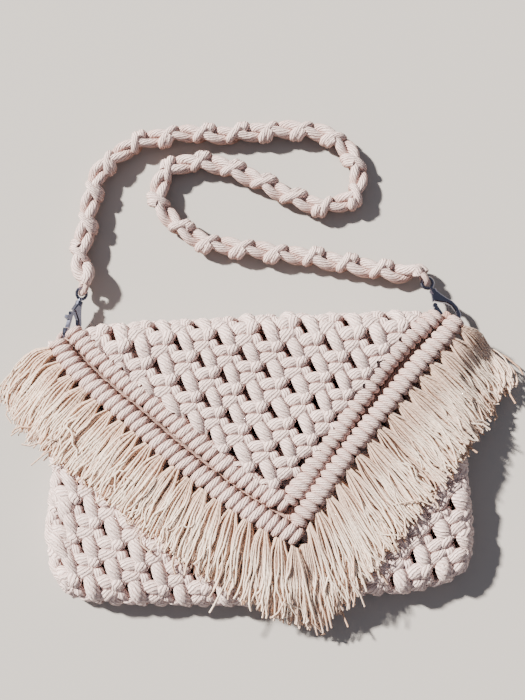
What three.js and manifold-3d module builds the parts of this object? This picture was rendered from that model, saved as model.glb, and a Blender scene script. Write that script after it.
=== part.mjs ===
// Knotted cotton envelope bag, lying on its back with the flap closed and its strap laid out
// above it. Millimetres, +Z up. X runs across the bag, +Y from the bottom fold to the top fold.
// The origin is on the flat back face, at the middle of the bag.

import * as THREE from 'three';
import { mergeVertices } from 'three/addons/utils/BufferGeometryUtils.js';
import Module from 'manifold-3d';

const wasm = await Module();
wasm.setup();

// Sizes: body
const BAG_WIDTH = 266; // side edge to side edge
const BOTTOM_REACH = 89; // origin to the bottom fold
const TOP_REACH = 90; // origin to the top fold
const WALL = 9; // knotted fabric of 5 mm cord, three cords deep and drawn tight
const INNER_SPACE = 8; // free height between front and back at the middle
const SIDE_SPACE = 1.5; // what is left of it at the side seams
const EDGE_ROUND = 9; // how far in the rounded edge reaches
const GAP = 0.3; // clearance between pieces that touch

// Sizes: knots
const KNOT_PITCH = 27; // from one square knot to the next in a row
const ROW_PITCH = 12.3; // from one row to the next
const NET_GAP_WIDTH = 3.6; // opening between four knots
const NET_GAP_HEIGHT = 4.2;
const KNOT_RELIEF = 1.3; // height of a knot over the fabric around it
const FLAP_TURN = 5.2; // degrees that the flap's rows lean from the top fold
const FLAP_FIRST_GAP = { across: -73.3, up: 68.5 }; // one opening of the flap's first full row
const FRONT_FIRST_GAP = { across: -95, up: 19 }; // one opening of the lowest row, up from the fold
const FRONT_GAP_ROWS = 3;

// Sizes: ridges of double half hitches
const RIDGE_WIDTH = 12.8;
const RIDGE_HEIGHT = 10;
const RIB_PITCH = 10.8; // two wraps, one cord
const GROOVE = 0.84; // groove between ribs, as a share of the ridge

// Sizes: fringe
const FRINGE_LENGTH = 50; // cord ends below the ridge
const FRINGE_THICKNESS = 6;
const FRINGE_TIP_THICKNESS = 3.5;
const LOCK_PITCH = 10.8; // one unravelled cord

// Sizes: strap and cord loops
const STRAP_DIAMETER = 12;
const CORD_DIAMETER = 4; // a loop's cord under pull

// Sizes: snap hooks
const CLASP_THICKNESS = 3.6;
const EYE_RADIUS = 3.7; // to the middle of the wire
const EYE_WIRE = 2.2;
const POST_DIAMETER = 3;
const COLLAR_DIAMETER = 5;
const COLLAR_LENGTH = 3;
const PIVOT = { x: -4.4, y: -9.6 }; // lever's pin in the hook's own frame
const PIVOT_RADIUS = 1.5;
const LEVER_WIDTH = 2;
const LEVER_LENGTH = 10; // pin to tip
const LEVER_THICKNESS = 2.4;
const THUMB_REACH = 4.2; // thumb tab, out from the lever's middle line

// Side edges, from the bottom corner (up 0) to the mouth (up 1), as shares of half the width.
const SIDE_EDGE = [
  { up: 0.0, left: 0.93, right: 0.965 },
  { up: 0.06, left: 0.975, right: 0.985 },
  { up: 0.16, left: 1.0, right: 0.992 },
  { up: 0.27, left: 1.004, right: 0.992 },
  { up: 0.37, left: 0.982, right: 0.995 },
  { up: 0.5, left: 0.978, right: 1.0 },
  { up: 0.75, left: 0.99, right: 1.0 },
  { up: 1.0, left: 1.0, right: 0.995 },
];

// Bottom fold from the left corner to the right one; rise is a share of BOTTOM_REACH.
const BOTTOM_EDGE = [
  { across: 0.0, rise: 0.19 },
  { across: 0.08, rise: 0.087 },
  { across: 0.18, rise: 0.045 },
  { across: 0.32, rise: 0.009 },
  { across: 0.5, rise: 0.0 },
  { across: 0.72, rise: 0.03 },
  { across: 0.82, rise: 0.03 },
  { across: 0.9, rise: 0.06 },
  { across: 1.0, rise: 0.17 },
];

// Middle lines of the ridges from their top ends down, as shares: x of half the width, y of
// TOP_REACH. The left ridges run on to the point of the flap and the right ones stop at them.
const RIDGES = {
  inner_ridge_left: [
    { x: -0.873, y: 0.968 },
    { x: -0.815, y: 0.88 },
    { x: -0.677, y: 0.667 },
    { x: -0.538, y: 0.473 },
    { x: -0.386, y: 0.273 },
    { x: -0.264, y: 0.106 },
    { x: -0.116, y: -0.09 },
    { x: 0.037, y: -0.256 },
    { x: 0.122, y: -0.338 },
  ],
  outer_ridge_left: [
    { x: -0.943, y: 0.898 },
    { x: -0.868, y: 0.72 },
    { x: -0.737, y: 0.513 },
    { x: -0.584, y: 0.313 },
    { x: -0.43, y: 0.096 },
    { x: -0.28, y: -0.095 },
    { x: -0.131, y: -0.276 },
    { x: 0.022, y: -0.432 },
    { x: 0.155, y: -0.548 },
  ],
  inner_ridge_right: [
    { x: 0.913, y: 0.962 },
    { x: 0.751, y: 0.781 },
    { x: 0.613, y: 0.577 },
    { x: 0.494, y: 0.352 },
    { x: 0.376, y: 0.13 },
    { x: 0.256, y: -0.094 },
    { x: 0.196, y: -0.212 },
    { x: 0.145, y: -0.3 },
  ],
  outer_ridge_right: [
    { x: 1.005, y: 0.925 },
    { x: 0.885, y: 0.74 },
    { x: 0.76, y: 0.555 },
    { x: 0.625, y: 0.33 },
    { x: 0.487, y: 0.104 },
    { x: 0.371, y: -0.095 },
    { x: 0.27, y: -0.285 },
    { x: 0.215, y: -0.385 },
    { x: 0.168, y: -0.465 },
  ],
};

// Fringe along each outer ridge: at is the share of the ridge from its top end, root and tip
// are headings in degrees out from straight down, length is a share of FRINGE_LENGTH.
const FRINGE_LEFT = [
  { at: 0.0, root: 78, tip: 12, length: 1 },
  { at: 0.12, root: 56, tip: 26, length: 0.92 },
  { at: 0.3, root: 50, tip: 36, length: 0.86 },
  { at: 0.5, root: 46, tip: 34, length: 0.84 },
  { at: 0.65, root: 32, tip: 22, length: 0.86 },
  { at: 0.8, root: 18, tip: 12, length: 0.88 },
  { at: 0.92, root: 6, tip: 2, length: 0.96 },
  { at: 1.0, root: -7, tip: -10, length: 0.98 },
];
const FRINGE_RIGHT = [
  { at: 0.0, root: 56, tip: 16, length: 1 },
  { at: 0.12, root: 52, tip: 28, length: 0.98 },
  { at: 0.3, root: 50, tip: 42, length: 1.04 },
  { at: 0.5, root: 44, tip: 38, length: 1.04 },
  { at: 0.7, root: 36, tip: 30, length: 1.06 },
  { at: 0.85, root: 26, tip: 20, length: 1.1 },
  { at: 1.0, root: 10, tip: 6, length: 1.2 },
];
const PARTING_LEAN = 9; // degrees to the right of straight down, where the two fringes part

// Where each fringe runs on past the end of its ridge, as the ridges' shares.
const FRINGE_END = {
  outer_ridge_left: { x: 0.212, y: -0.602 },
  outer_ridge_right: { x: 0.16, y: -0.5 },
};

// Route of the strap over the surface, between its two clasps: x and y.
const STRAP_ROUTE = [
  [-112, 136], [-109.8, 152], [-106.9, 169.5], [-104, 184], [-98.3, 200], [-87.9, 210],
  [-74.1, 218.3], [-56.8, 223], [-39.5, 225], [-19, 222.6], [1.7, 222.8], [22.4, 224.6],
  [43, 223.6], [60, 218.4], [70, 209.2], [76.4, 197], [77.6, 185.8], [74, 175.4], [65.2, 170],
  [53.5, 168.6], [42.1, 170.5], [26.9, 177.5], [11.7, 186.8], [-3, 194.5], [-19.8, 201.5],
  [-36.8, 203.2], [-50.6, 199], [-57.7, 188.6], [-58.1, 176], [-51.6, 164.8], [-41.8, 154.6],
  [-28.6, 147], [-11.9, 143], [8.1, 139.5], [28, 135.2], [47.9, 131], [67.7, 126], [87.5, 121.4],
  [102, 118.4],
];

// Cord loops that the hooks hold, from a mouth corner out through the hook and back: reach in
// from the side edge, reach out from the mouth, z.
const CORNER_LOOPS = {
  corner_loop_left: [
    [5.5, 0, 10], [5.5, 7, 10], [7.8, 13.4, 10], [13, 16.2, 9.8], [18, 13.4, 9.6], [20, 7, 9.6],
    [20, 0, 9.6],
  ],
  corner_loop_right: [
    [6, 0, 5], [5.6, 2.5, 4.8], [3, 8, 4.6], [0.7, 12.4, 6.6], [0.2, 13.4, 9.9],
    [0.7, 12.4, 13.2], [3, 8, 15.2], [5.6, 2.5, 15], [6, 0, 14.8],
  ],
};

// Snap hooks: place of the swivel, in from the side edge, out from the mouth and up, then the
// heading of the hook in degrees from straight down (positive towards +X), the roll about its own
// length and the roll of its swivel eye.
const CLASPS = {
  left: { sign: -1, inward: 20.3, out: 36.7, z: 9.6, heading: -16, roll: 62, eyeRoll: 40 },
  right: { sign: 1, inward: 12.4, out: 33.6, z: 9.8, heading: 30, roll: 0, eyeRoll: 0 },
};

const HALF_WIDTH = BAG_WIDTH / 2;
const radians = THREE.MathUtils.degToRad;
const lerp = THREE.MathUtils.lerp;
const clamp = THREE.MathUtils.clamp;

// Value of one column of a table at a share along it.
function column(table, key, name, share) {
  let k = 0;
  while (k < table.length - 2 && share > table[k + 1][key]) k++;
  const a = table[k];
  const b = table[k + 1];
  const t = clamp((share - a[key]) / (b[key] - a[key]), 0, 1);
  return lerp(a[name], b[name], t);
}

function geometryOf(vertices, faces) {
  const geometry = new THREE.BufferGeometry();
  geometry.setAttribute('position', new THREE.Float32BufferAttribute(vertices, 3));
  geometry.setIndex(faces);
  return geometry;
}

function solidOf(source) {
  const geometry = source.clone();
  geometry.deleteAttribute('normal');
  geometry.deleteAttribute('uv');
  const merged = mergeVertices(geometry, 1e-4);
  return new wasm.Manifold(new wasm.Mesh({
    numProp: 3,
    vertProperties: new Float32Array(merged.attributes.position.array),
    triVerts: new Uint32Array(merged.index.array),
  }));
}

function geometryFrom(solid) {
  const mesh = solid.getMesh();
  return geometryOf(Array.from(mesh.vertProperties), Array.from(mesh.triVerts));
}

// Largest body of a cut solid: a cut between two faceted faces can leave slivers.
function mainBody(solid) {
  const pieces = solid.decompose();
  return pieces.reduce((a, b) => (b.volume() > a.volume() ? b : a));
}

// Closed sheet between two surfaces over a grid. Cells named by open(i, j) are cut through.
function sheet(columns, rows, outer, inner, open = () => false) {
  const vertices = [];
  const faces = [];
  const size = (columns + 1) * (rows + 1);
  const at = (layer, i, j) => layer * size + j * (columns + 1) + i;
  for (const surface of [outer, inner]) {
    for (let j = 0; j <= rows; j++) {
      for (let i = 0; i <= columns; i++) vertices.push(...surface(i, j));
    }
  }
  const filled = (i, j) => i >= 0 && j >= 0 && i < columns && j < rows && !open(i, j);
  const quad = (a, b, c, d) => faces.push(a, b, c, a, c, d);
  for (let j = 0; j < rows; j++) {
    for (let i = 0; i < columns; i++) {
      if (!filled(i, j)) continue;
      quad(at(0, i, j), at(0, i + 1, j), at(0, i + 1, j + 1), at(0, i, j + 1));
      quad(at(1, i, j), at(1, i, j + 1), at(1, i + 1, j + 1), at(1, i + 1, j));
      if (!filled(i, j - 1)) quad(at(0, i, j), at(1, i, j), at(1, i + 1, j), at(0, i + 1, j));
      if (!filled(i, j + 1)) {
        quad(at(0, i + 1, j + 1), at(1, i + 1, j + 1), at(1, i, j + 1), at(0, i, j + 1));
      }
      if (!filled(i - 1, j)) quad(at(0, i, j + 1), at(1, i, j + 1), at(1, i, j), at(0, i, j));
      if (!filled(i + 1, j)) {
        quad(at(0, i + 1, j), at(1, i + 1, j), at(1, i + 1, j + 1), at(0, i + 1, j + 1));
      }
    }
  }
  // vertices that only open cells share are dropped with the merge
  const used = new Map();
  const kept = [];
  const index = faces.map((v) => {
    if (!used.has(v)) {
      used.set(v, used.size);
      kept.push(vertices[3 * v], vertices[3 * v + 1], vertices[3 * v + 2]);
    }
    return used.get(v);
  });
  return solidOf(geometryOf(kept, index));
}

// Closed bar through rings of points, with flat ends.
function bar(rings) {
  const sides = rings[0].length;
  const vertices = rings.flat().flatMap((p) => [p.x, p.y, p.z]);
  const faces = [];
  for (let r = 0; r < rings.length - 1; r++) {
    for (let s = 0; s < sides; s++) {
      const a = r * sides + s;
      const b = r * sides + ((s + 1) % sides);
      faces.push(a, b, b + sides, a, b + sides, a + sides);
    }
  }
  const last = (rings.length - 1) * sides;
  for (let s = 1; s < sides - 1; s++) {
    faces.push(0, s + 1, s, last, last + s, last + s + 1);
  }
  return solidOf(geometryOf(vertices, faces));
}

// Ring of an upright oval across a heading.
function ovalRing(centre, heading, width, height, sides) {
  const side = new THREE.Vector3(0, 0, 1).cross(heading).normalize();
  const up = heading.clone().cross(side).normalize();
  const ring = [];
  for (let s = 0; s < sides; s++) {
    const a = (2 * Math.PI * (s + 0.5)) / sides;
    ring.push(centre.clone()
      .addScaledVector(side, (Math.cos(a) * width) / 2)
      .addScaledVector(up, (Math.sin(a) * height) / 2));
  }
  return ring;
}

// Upright prism over an outline in plan.
function prism(outline, low, high) {
  const shape = new THREE.Shape(outline.map(([x, y]) => new THREE.Vector2(x, y)));
  const geometry = new THREE.ExtrudeGeometry(shape, { depth: high - low, bevelEnabled: false });
  geometry.translate(0, 0, low);
  return solidOf(geometry);
}

// Round cord along a curve.
function cord(points, diameter, sides, steps) {
  const section = new THREE.Shape();
  for (let s = 0; s < sides; s++) {
    const a = (2 * Math.PI * s) / sides;
    const x = (Math.cos(a) * diameter) / 2;
    const y = (Math.sin(a) * diameter) / 2;
    if (s === 0) section.moveTo(x, y);
    else section.lineTo(x, y);
  }
  section.closePath();
  const curve = new THREE.CatmullRomCurve3(points.map((p) => new THREE.Vector3(...p)));
  return solidOf(new THREE.ExtrudeGeometry(section, { steps, extrudePath: curve }));
}

// Body of the bag

const MOUTH = TOP_REACH - WALL - INNER_SPACE / 2 - WALL / 2 - GAP - 0.2;

function bottomEdge(across) {
  return -BOTTOM_REACH * (1 - column(BOTTOM_EDGE, 'across', 'rise', across));
}

// Point in plan of the body for shares across and up, kept an inset away from its edges.
function planPoint(across, up, inset, top) {
  const left = -HALF_WIDTH * column(SIDE_EDGE, 'up', 'left', up) + inset;
  const right = HALF_WIDTH * column(SIDE_EDGE, 'up', 'right', up) - inset;
  return [lerp(left, right, across), lerp(bottomEdge(across) + inset, top, up)];
}

// Free height inside, which closes towards the sides and the bottom fold.
function space(x, y) {
  const side = 1 - Math.min(1, Math.abs(x) / (HALF_WIDTH - EDGE_ROUND)) ** 3;
  const fold = Math.min(1, Math.max(0, (y + BOTTOM_REACH - WALL) / (5 * WALL)));
  return SIDE_SPACE + (INNER_SPACE - SIDE_SPACE) * side * (1 - (1 - fold) ** 2);
}

// Height of the front panel's outer face.
function frontHeight(x, y) {
  return 2 * WALL + space(x, y);
}

const EDGE_STEPS = [
  { inset: 0.0, share: 0.3 },
  { inset: 0.2, share: 0.68 },
  { inset: 0.55, share: 0.92 },
  { inset: 1.0, share: 1.0 },
];

// The rounded cushion of the body, grown by a margin on its front.
function cushion(margin, top) {
  const side = EDGE_STEPS.length - 1;
  const columns = 2 * side + 8;
  const rows = side + 7;
  const place = (i, j) => {
    const edgeX = EDGE_STEPS[Math.min(side, i, columns - i)];
    const edgeY = EDGE_STEPS[Math.min(side, j)];
    const across = clamp((i - side) / (columns - 2 * side), 0, 1);
    const up = clamp((j - side) / (rows - side), 0, 1);
    const reach = EDGE_ROUND + margin;
    const [left, y0] = planPoint(0, up, -margin, top);
    const [right] = planPoint(1, up, -margin, top);
    let x = lerp(left + reach, right - reach, across);
    if (i < side) x = left + reach * edgeX.inset;
    if (i > columns - side) x = right - reach * edgeX.inset;
    const shareX = clamp((x - left) / (right - left), 0, 1);
    const low = bottomEdge(shareX) - margin;
    let y = lerp(low + reach, top, up);
    if (j < side) y = low + reach * edgeY.inset;
    return { x, y, share: Math.min(edgeX.share, edgeY.share) };
  };
  const face = (sign) => (i, j) => {
    const { x, y, share } = place(i, j);
    const half = frontHeight(x, y) / 2;
    return [x, y, half + sign * half * share + (sign > 0 ? margin : 0)];
  };
  return sheet(columns, rows, face(1), face(-1));
}

function pouchSolid() {
  const outer = cushion(0, MOUTH);
  const columns = 10;
  const rows = 6;
  const place = (i, j) => planPoint(i / columns, j / rows, WALL + 1, MOUTH + WALL);
  const low = (i, j) => {
    const [x, y] = place(i, j);
    return [x, y, WALL];
  };
  const high = (i, j) => {
    const [x, y] = place(i, j);
    return [x, y, WALL + space(x, y)];
  };
  let body = outer.subtract(sheet(columns, rows, high, low));
  for (let row = 0; row < FRONT_GAP_ROWS; row++) {
    const shift = row % 2 === 0 ? 0 : -KNOT_PITCH / 2;
    const first = FRONT_FIRST_GAP.across + shift;
    for (let x = first; x < HALF_WIDTH - 2 * WALL; x += KNOT_PITCH) {
      if (x < -HALF_WIDTH + 2 * WALL) continue;
      const up = bottomEdge((x + HALF_WIDTH) / BAG_WIDTH) + FRONT_FIRST_GAP.up + row * ROW_PITCH;
      const a = NET_GAP_WIDTH / 2;
      const b = NET_GAP_HEIGHT / 2;
      const outline = [[x - a, up - b / 3], [x, up - b], [x + a, up + b / 3], [x, up + b]];
      body = body.subtract(prism(outline, WALL + SIDE_SPACE / 2, 6 * WALL));
    }
  }
  return body;
}

// Ridges along the flap

function ridgeCurve(name, further = []) {
  const rows = [...RIDGES[name], ...further];
  return new THREE.CatmullRomCurve3(rows.map(({ x, y }) => {
    const X = x * HALF_WIDTH;
    const Y = y * TOP_REACH;
    const over = clamp((Y - MOUTH) / (TOP_REACH - MOUTH), 0, 1);
    const z = frontHeight(X, Math.min(Y, MOUTH)) + GAP + RIDGE_HEIGHT / 2 - 1.5 * over;
    return new THREE.Vector3(X, Y, z);
  }));
}

// Bar along a ridge. Ribs swell and sink it; a margin makes the room that it needs.
function ridgeBar(name, ribs, margin, sides = 8) {
  const curve = ridgeCurve(name);
  const count = ribs ? 2 * Math.round(curve.getLength() / RIB_PITCH) : 12;
  const rings = [];
  for (let k = 0; k <= count; k++) {
    const t = k / count;
    const end = k === 0 || k === count;
    const share = (ribs && k % 2 === 0 ? GROOVE : 1) * (end && ribs ? 0.85 : 1);
    rings.push(ovalRing(
      curve.getPointAt(t), curve.getTangentAt(t),
      RIDGE_WIDTH * share + 2 * margin, RIDGE_HEIGHT * share + 2 * margin, sides,
    ));
  }
  return bar(rings);
}

// Flap

// Region in plan on the inner side of a ridge, clear of the ridge itself.
function besideRidge(name, sign) {
  const curve = ridgeCurve(name);
  const outline = [];
  for (let k = 0; k <= 10; k++) {
    const way = curve.getTangentAt(k / 10).setZ(0).normalize();
    const p = curve.getPointAt(k / 10).addScaledVector(way, k === 10 ? HALF_WIDTH : 0);
    const aside = sign * (RIDGE_WIDTH / 2 + GAP);
    outline.push([p.x - way.y * aside, p.y + way.x * aside]);
  }
  const top = TOP_REACH + 3 * WALL;
  const far = sign * 2 * BAG_WIDTH;
  outline.unshift([outline[0][0], top]);
  outline.push([far, outline[11][1]], [far, top]);
  return prism(sign > 0 ? outline : outline.reverse(), -WALL, 8 * WALL);
}

// Point of the flap's outer (layer 1) or inner (layer 0) face, for a place in plan where y
// runs on round the top fold.
function flapPoint(x, y, layer, lift) {
  const base = frontHeight(x, Math.min(y, MOUTH)) + GAP;
  const total = base + WALL;
  const middle = total / 2 - WALL / 2;
  const line = MOUTH + GAP;
  if (y <= line) return [x, y, base + WALL * layer + lift];
  const turn = (y - line) / middle;
  const radius = total / 2 - WALL * (1 - layer) + lift * Math.max(0, Math.cos(turn / 2) ** 2);
  if (turn < Math.PI) {
    return [x, line + radius * Math.sin(turn), total / 2 + radius * Math.cos(turn)];
  }
  return [x, line - (turn - Math.PI) * middle, total / 2 - radius];
}

function flapSolid(rooms) {
  const c = Math.cos(radians(FLAP_TURN));
  const s = Math.sin(radians(FLAP_TURN));
  const half = KNOT_PITCH / 2;
  const lines = (first, last, pitch, size) => {
    const found = [];
    for (let k = first; k <= last; k++) {
      found.push({ k, at: k * pitch - size / 2 }, { k, at: k * pitch + size / 2 });
    }
    return found;
  };
  const columnLines = lines(-4, 15, half, NET_GAP_WIDTH);
  const rowLines = lines(-9, 1, ROW_PITCH, NET_GAP_HEIGHT);
  for (let k = 2; k <= 5; k++) rowLines.push({ k, at: (k + 0.3) * ROW_PITCH });
  const columns = columnLines.length - 1;
  const rows = rowLines.length - 1;
  const place = (i, j) => {
    const u = columnLines[i].at;
    const v = rowLines[j].at;
    return [FLAP_FIRST_GAP.across + u * c - v * s, FLAP_FIRST_GAP.up + u * s + v * c];
  };
  const isGap = (i, j) => (columnLines[i].k + rowLines[j].k) % 2 === 0;
  const surface = (layer) => (i, j) => {
    const [x, y] = place(i, j);
    const lift = isGap(i, j) ? 0 : KNOT_RELIEF;
    return flapPoint(x, y, layer, layer === 1 ? lift : 0);
  };
  const fold = TOP_REACH - WALL / 2;
  const clear = (x, y) => ['inner_ridge_left', 'inner_ridge_right'].every((name) => {
    const points = ridgeCurve(name).getSpacedPoints(30);
    return points.every((p) => Math.hypot(p.x - x, p.y - y) > RIDGE_WIDTH / 2 + NET_GAP_WIDTH);
  });
  const open = (i, j) => {
    if (i % 2 || j % 2 || !isGap(i, j)) return false;
    const [x0, y0] = place(i, j);
    const [x1, y1] = place(i + 1, j + 1);
    return y1 < fold && clear((x0 + x1) / 2, (y0 + y1) / 2);
  };
  let flap = sheet(columns, rows, surface(1), surface(0), open);
  flap = flap.intersect(besideRidge('inner_ridge_left', 1));
  flap = flap.intersect(besideRidge('inner_ridge_right', -1));
  const seam = MOUTH + GAP;
  const behind = prism([
    [-BAG_WIDTH, -2 * BOTTOM_REACH], [BAG_WIDTH, -2 * BOTTOM_REACH], [BAG_WIDTH, seam],
    [-BAG_WIDTH, seam],
  ], -WALL, WALL + SIDE_SPACE / 2);
  flap = flap.subtract(behind);
  for (const room of rooms) flap = flap.subtract(room);
  return mainBody(flap);
}

// Fringe under the ridges

// Height that the fringe lies on: the front panel, and past its edges a fall to the surface.
function restHeight(x, y) {
  const across = clamp((x + HALF_WIDTH) / BAG_WIDTH, 0, 1);
  const out = Math.max(
    Math.abs(x) - HALF_WIDTH + EDGE_ROUND / 2, bottomEdge(across) + EDGE_ROUND / 2 - y, 0,
  );
  const inside = frontHeight(clamp(x, -HALF_WIDTH, HALF_WIDTH), Math.min(y, MOUTH));
  return Math.max(inside - 0.55 * out, WALL / 2);
}

// Middle of the fringe at a share along its ridge and a share along its length.
function fringePoint(table, curve, sign, at, along) {
  const p = curve.getPointAt(at);
  const heading = curve.getTangentAt(at).setZ(0).normalize();
  const out = new THREE.Vector3(0, 0, sign).cross(heading);
  const start = RIDGE_WIDTH / 2 + GAP + 0.4 * FRINGE_THICKNESS;
  const point = p.clone().addScaledVector(out, start);
  const length = FRINGE_LENGTH * column(table, 'at', 'length', at);
  const pieces = 6;
  for (let k = 0; k < pieces; k++) {
    const from = (along * k) / pieces;
    const turn = radians(lerp(
      column(table, 'at', 'root', at), column(table, 'at', 'tip', at), from + along / pieces / 2,
    ));
    point.x += (sign * Math.sin(turn) * length * along) / pieces;
    point.y -= (Math.cos(turn) * length * along) / pieces;
  }
  const thick = lerp(FRINGE_THICKNESS, FRINGE_TIP_THICKNESS, along);
  const lying = restHeight(point.x, point.y) + GAP + thick / 2;
  point.z = lerp(p.z, lying, Math.min(1, 2.5 * along));
  return point;
}

// Flat locks, one for each cord, fused to a round head along the outer ridge.
function fringeSolid(table, ridgeName, sign) {
  const curve = ridgeCurve(ridgeName, [FRINGE_END[ridgeName]]);
  const locks = Math.round(curve.getLength() / LOCK_PITCH);
  const headRings = [];
  for (let k = 0; k <= locks; k += locks / 8) {
    const centre = fringePoint(table, curve, sign, k / locks, 0);
    const heading = curve.getTangentAt(k / locks);
    headRings.push(ovalRing(centre, heading, FRINGE_THICKNESS, FRINGE_THICKNESS, 4));
  }
  let whole = bar(headRings);
  const stations = [0, 0.3, 0.62, 1];
  for (let k = 0; k < locks; k++) {
    const rings = stations.map((share) => {
      const along = share * (k % 2 === 0 ? 1 : 0.95);
      const a = fringePoint(table, curve, sign, k / locks, along);
      const b = fringePoint(table, curve, sign, (k + 1) / locks, along);
      const slit = clamp(GAP / a.distanceTo(b), 0, 0.3);
      const low = a.clone().lerp(b, 0.5);
      const high = low.clone();
      const thick = lerp(FRINGE_THICKNESS, FRINGE_TIP_THICKNESS, share);
      low.z -= thick / 2;
      high.z += thick / 2;
      const ring = [a.clone().lerp(b, slit), low, b.clone().lerp(a, slit), high];
      return sign < 0 ? ring : ring.reverse();
    });
    whole = whole.add(bar(rings));
  }
  return whole;
}

// Snap hooks

function eyeSolid() {
  const ring = new THREE.TorusGeometry(EYE_RADIUS, EYE_WIRE / 2, 6, 12);
  const middle = EYE_RADIUS + POST_DIAMETER / 2 + GAP;
  ring.translate(0, middle, 0);
  const post = new THREE.CylinderGeometry(POST_DIAMETER / 2, POST_DIAMETER / 2, 1, 10);
  const reach = middle - EYE_RADIUS + EYE_WIRE / 4;
  post.scale(1, reach - GAP, 1);
  post.translate(0, GAP + (reach - GAP) / 2, 0);
  return solidOf(ring).add(solidOf(post));
}

// Outline of the hook in its own plane, from the neck round the bow to the nose and back.
const HOOK_OUTLINE = [
  [1.9, -1.5], [3.0, -5.5], [4.6, -9.5], [6.6, -13.5], [7.4, -18.5], [6.4, -23.8], [3.2, -27.8],
  [-0.4, -28.6], [-4.2, -26.9], [-6.4, -23.4], [-6.9, -20.2], [-4.3, -20.0], [-3.6, -22.8],
  [-1.6, -25.2], [0.6, -25.7], [3.0, -24.0], [4.3, -20.2], [4.2, -15.6], [2.4, -12.2],
  [0.2, -10.4], [-1.9, -8.4], [-3.1, -7.2], [-4.6, -6.9], [-3.2, -4.2], [-1.9, -1.5],
];

function hookSolid() {
  const shape = new THREE.Shape(HOOK_OUTLINE.map(([x, y]) => new THREE.Vector2(x, y)));
  const bevel = 0.6;
  const plate = new THREE.ExtrudeGeometry(shape, {
    depth: CLASP_THICKNESS - 2 * bevel, bevelThickness: bevel, bevelSize: bevel,
    bevelOffset: -bevel, bevelSegments: 1,
  });
  plate.translate(0, 0, -CLASP_THICKNESS / 2 + bevel);
  const collar = new THREE.CylinderGeometry(
    COLLAR_DIAMETER / 2, COLLAR_DIAMETER / 2, COLLAR_LENGTH, 12,
  );
  collar.translate(0, -COLLAR_LENGTH / 2, 0);
  return solidOf(plate).add(solidOf(collar));
}

function leverSolid() {
  const boss = new THREE.CylinderGeometry(PIVOT_RADIUS, PIVOT_RADIUS, LEVER_THICKNESS, 12);
  boss.rotateX(Math.PI / 2);
  const w = LEVER_WIDTH / 2;
  const arm = new THREE.Shape([
    [w, 0], [w, -LEVER_LENGTH], [-w, -LEVER_LENGTH], [-w, -5], [-THUMB_REACH, -4.2],
    [-THUMB_REACH, -2.2], [-w, -1.2], [-w, 0],
  ].map(([x, y]) => new THREE.Vector2(x, y)).reverse());
  const plate = new THREE.ExtrudeGeometry(arm, { depth: LEVER_THICKNESS, bevelEnabled: false });
  plate.translate(0, 0, -LEVER_THICKNESS / 2);
  return solidOf(boss).add(solidOf(plate));
}

// The model

const materials = {
  cotton: { color: 0xf1e9df, roughness: 0.95, metalness: 0 },
  fringe: { color: 0xf3ebdd, roughness: 0.95, metalness: 0 },
  chrome: { color: 0xc9cbd0, roughness: 0.18, metalness: 1 },
};

const bag = new THREE.Group();

function add(parent, name, solid, look) {
  const mesh = new THREE.Mesh(geometryFrom(solid), new THREE.MeshStandardMaterial(materials[look]));
  mesh.name = name;
  mesh.geometry.computeVertexNormals();
  parent.add(mesh);
  return mesh;
}

const pouchRoom = cushion(GAP, MOUTH + GAP);
const room = Object.fromEntries(
  Object.keys(RIDGES).map((name) => [name, ridgeBar(name, false, GAP)]),
);

add(bag, 'pouch', pouchSolid(), 'cotton');
add(bag, 'flap', flapSolid([pouchRoom]), 'cotton');
for (const name of Object.keys(RIDGES)) {
  let ridge = ridgeBar(name, true, 0).subtract(pouchRoom);
  if (name.endsWith('right')) {
    ridge = ridge.subtract(room.inner_ridge_left).subtract(room.outer_ridge_left);
  }
  add(bag, name, mainBody(ridge), 'cotton');
}

// The two fringes part along a line from the point of the flap to the longest lock.
const point = ridgeCurve('outer_ridge_left').getPointAt(1);
function parting(sign) {
  const lean = Math.tan(radians(PARTING_LEAN));
  const x = (y) => point.x + (point.y - y) * lean + (sign * GAP) / 2;
  const low = -2 * BOTTOM_REACH;
  const high = 2 * TOP_REACH;
  const far = sign * 2 * BAG_WIDTH;
  const outline = [[x(low), low], [far, low], [far, high], [x(high), high]];
  return prism(sign > 0 ? outline : outline.reverse(), -WALL, 8 * WALL);
}
const fringes = [
  ['fringe_left', FRINGE_LEFT, 'outer_ridge_left', -1],
  ['fringe_right', FRINGE_RIGHT, 'outer_ridge_right', 1],
];
for (const [name, table, ridge, sign] of fringes) {
  let fringe = fringeSolid(table, ridge, sign).subtract(pouchRoom);
  for (const name of Object.keys(RIDGES)) fringe = fringe.subtract(room[name]);
  add(bag, name, mainBody(fringe.intersect(parting(sign))), 'fringe');
}

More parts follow.
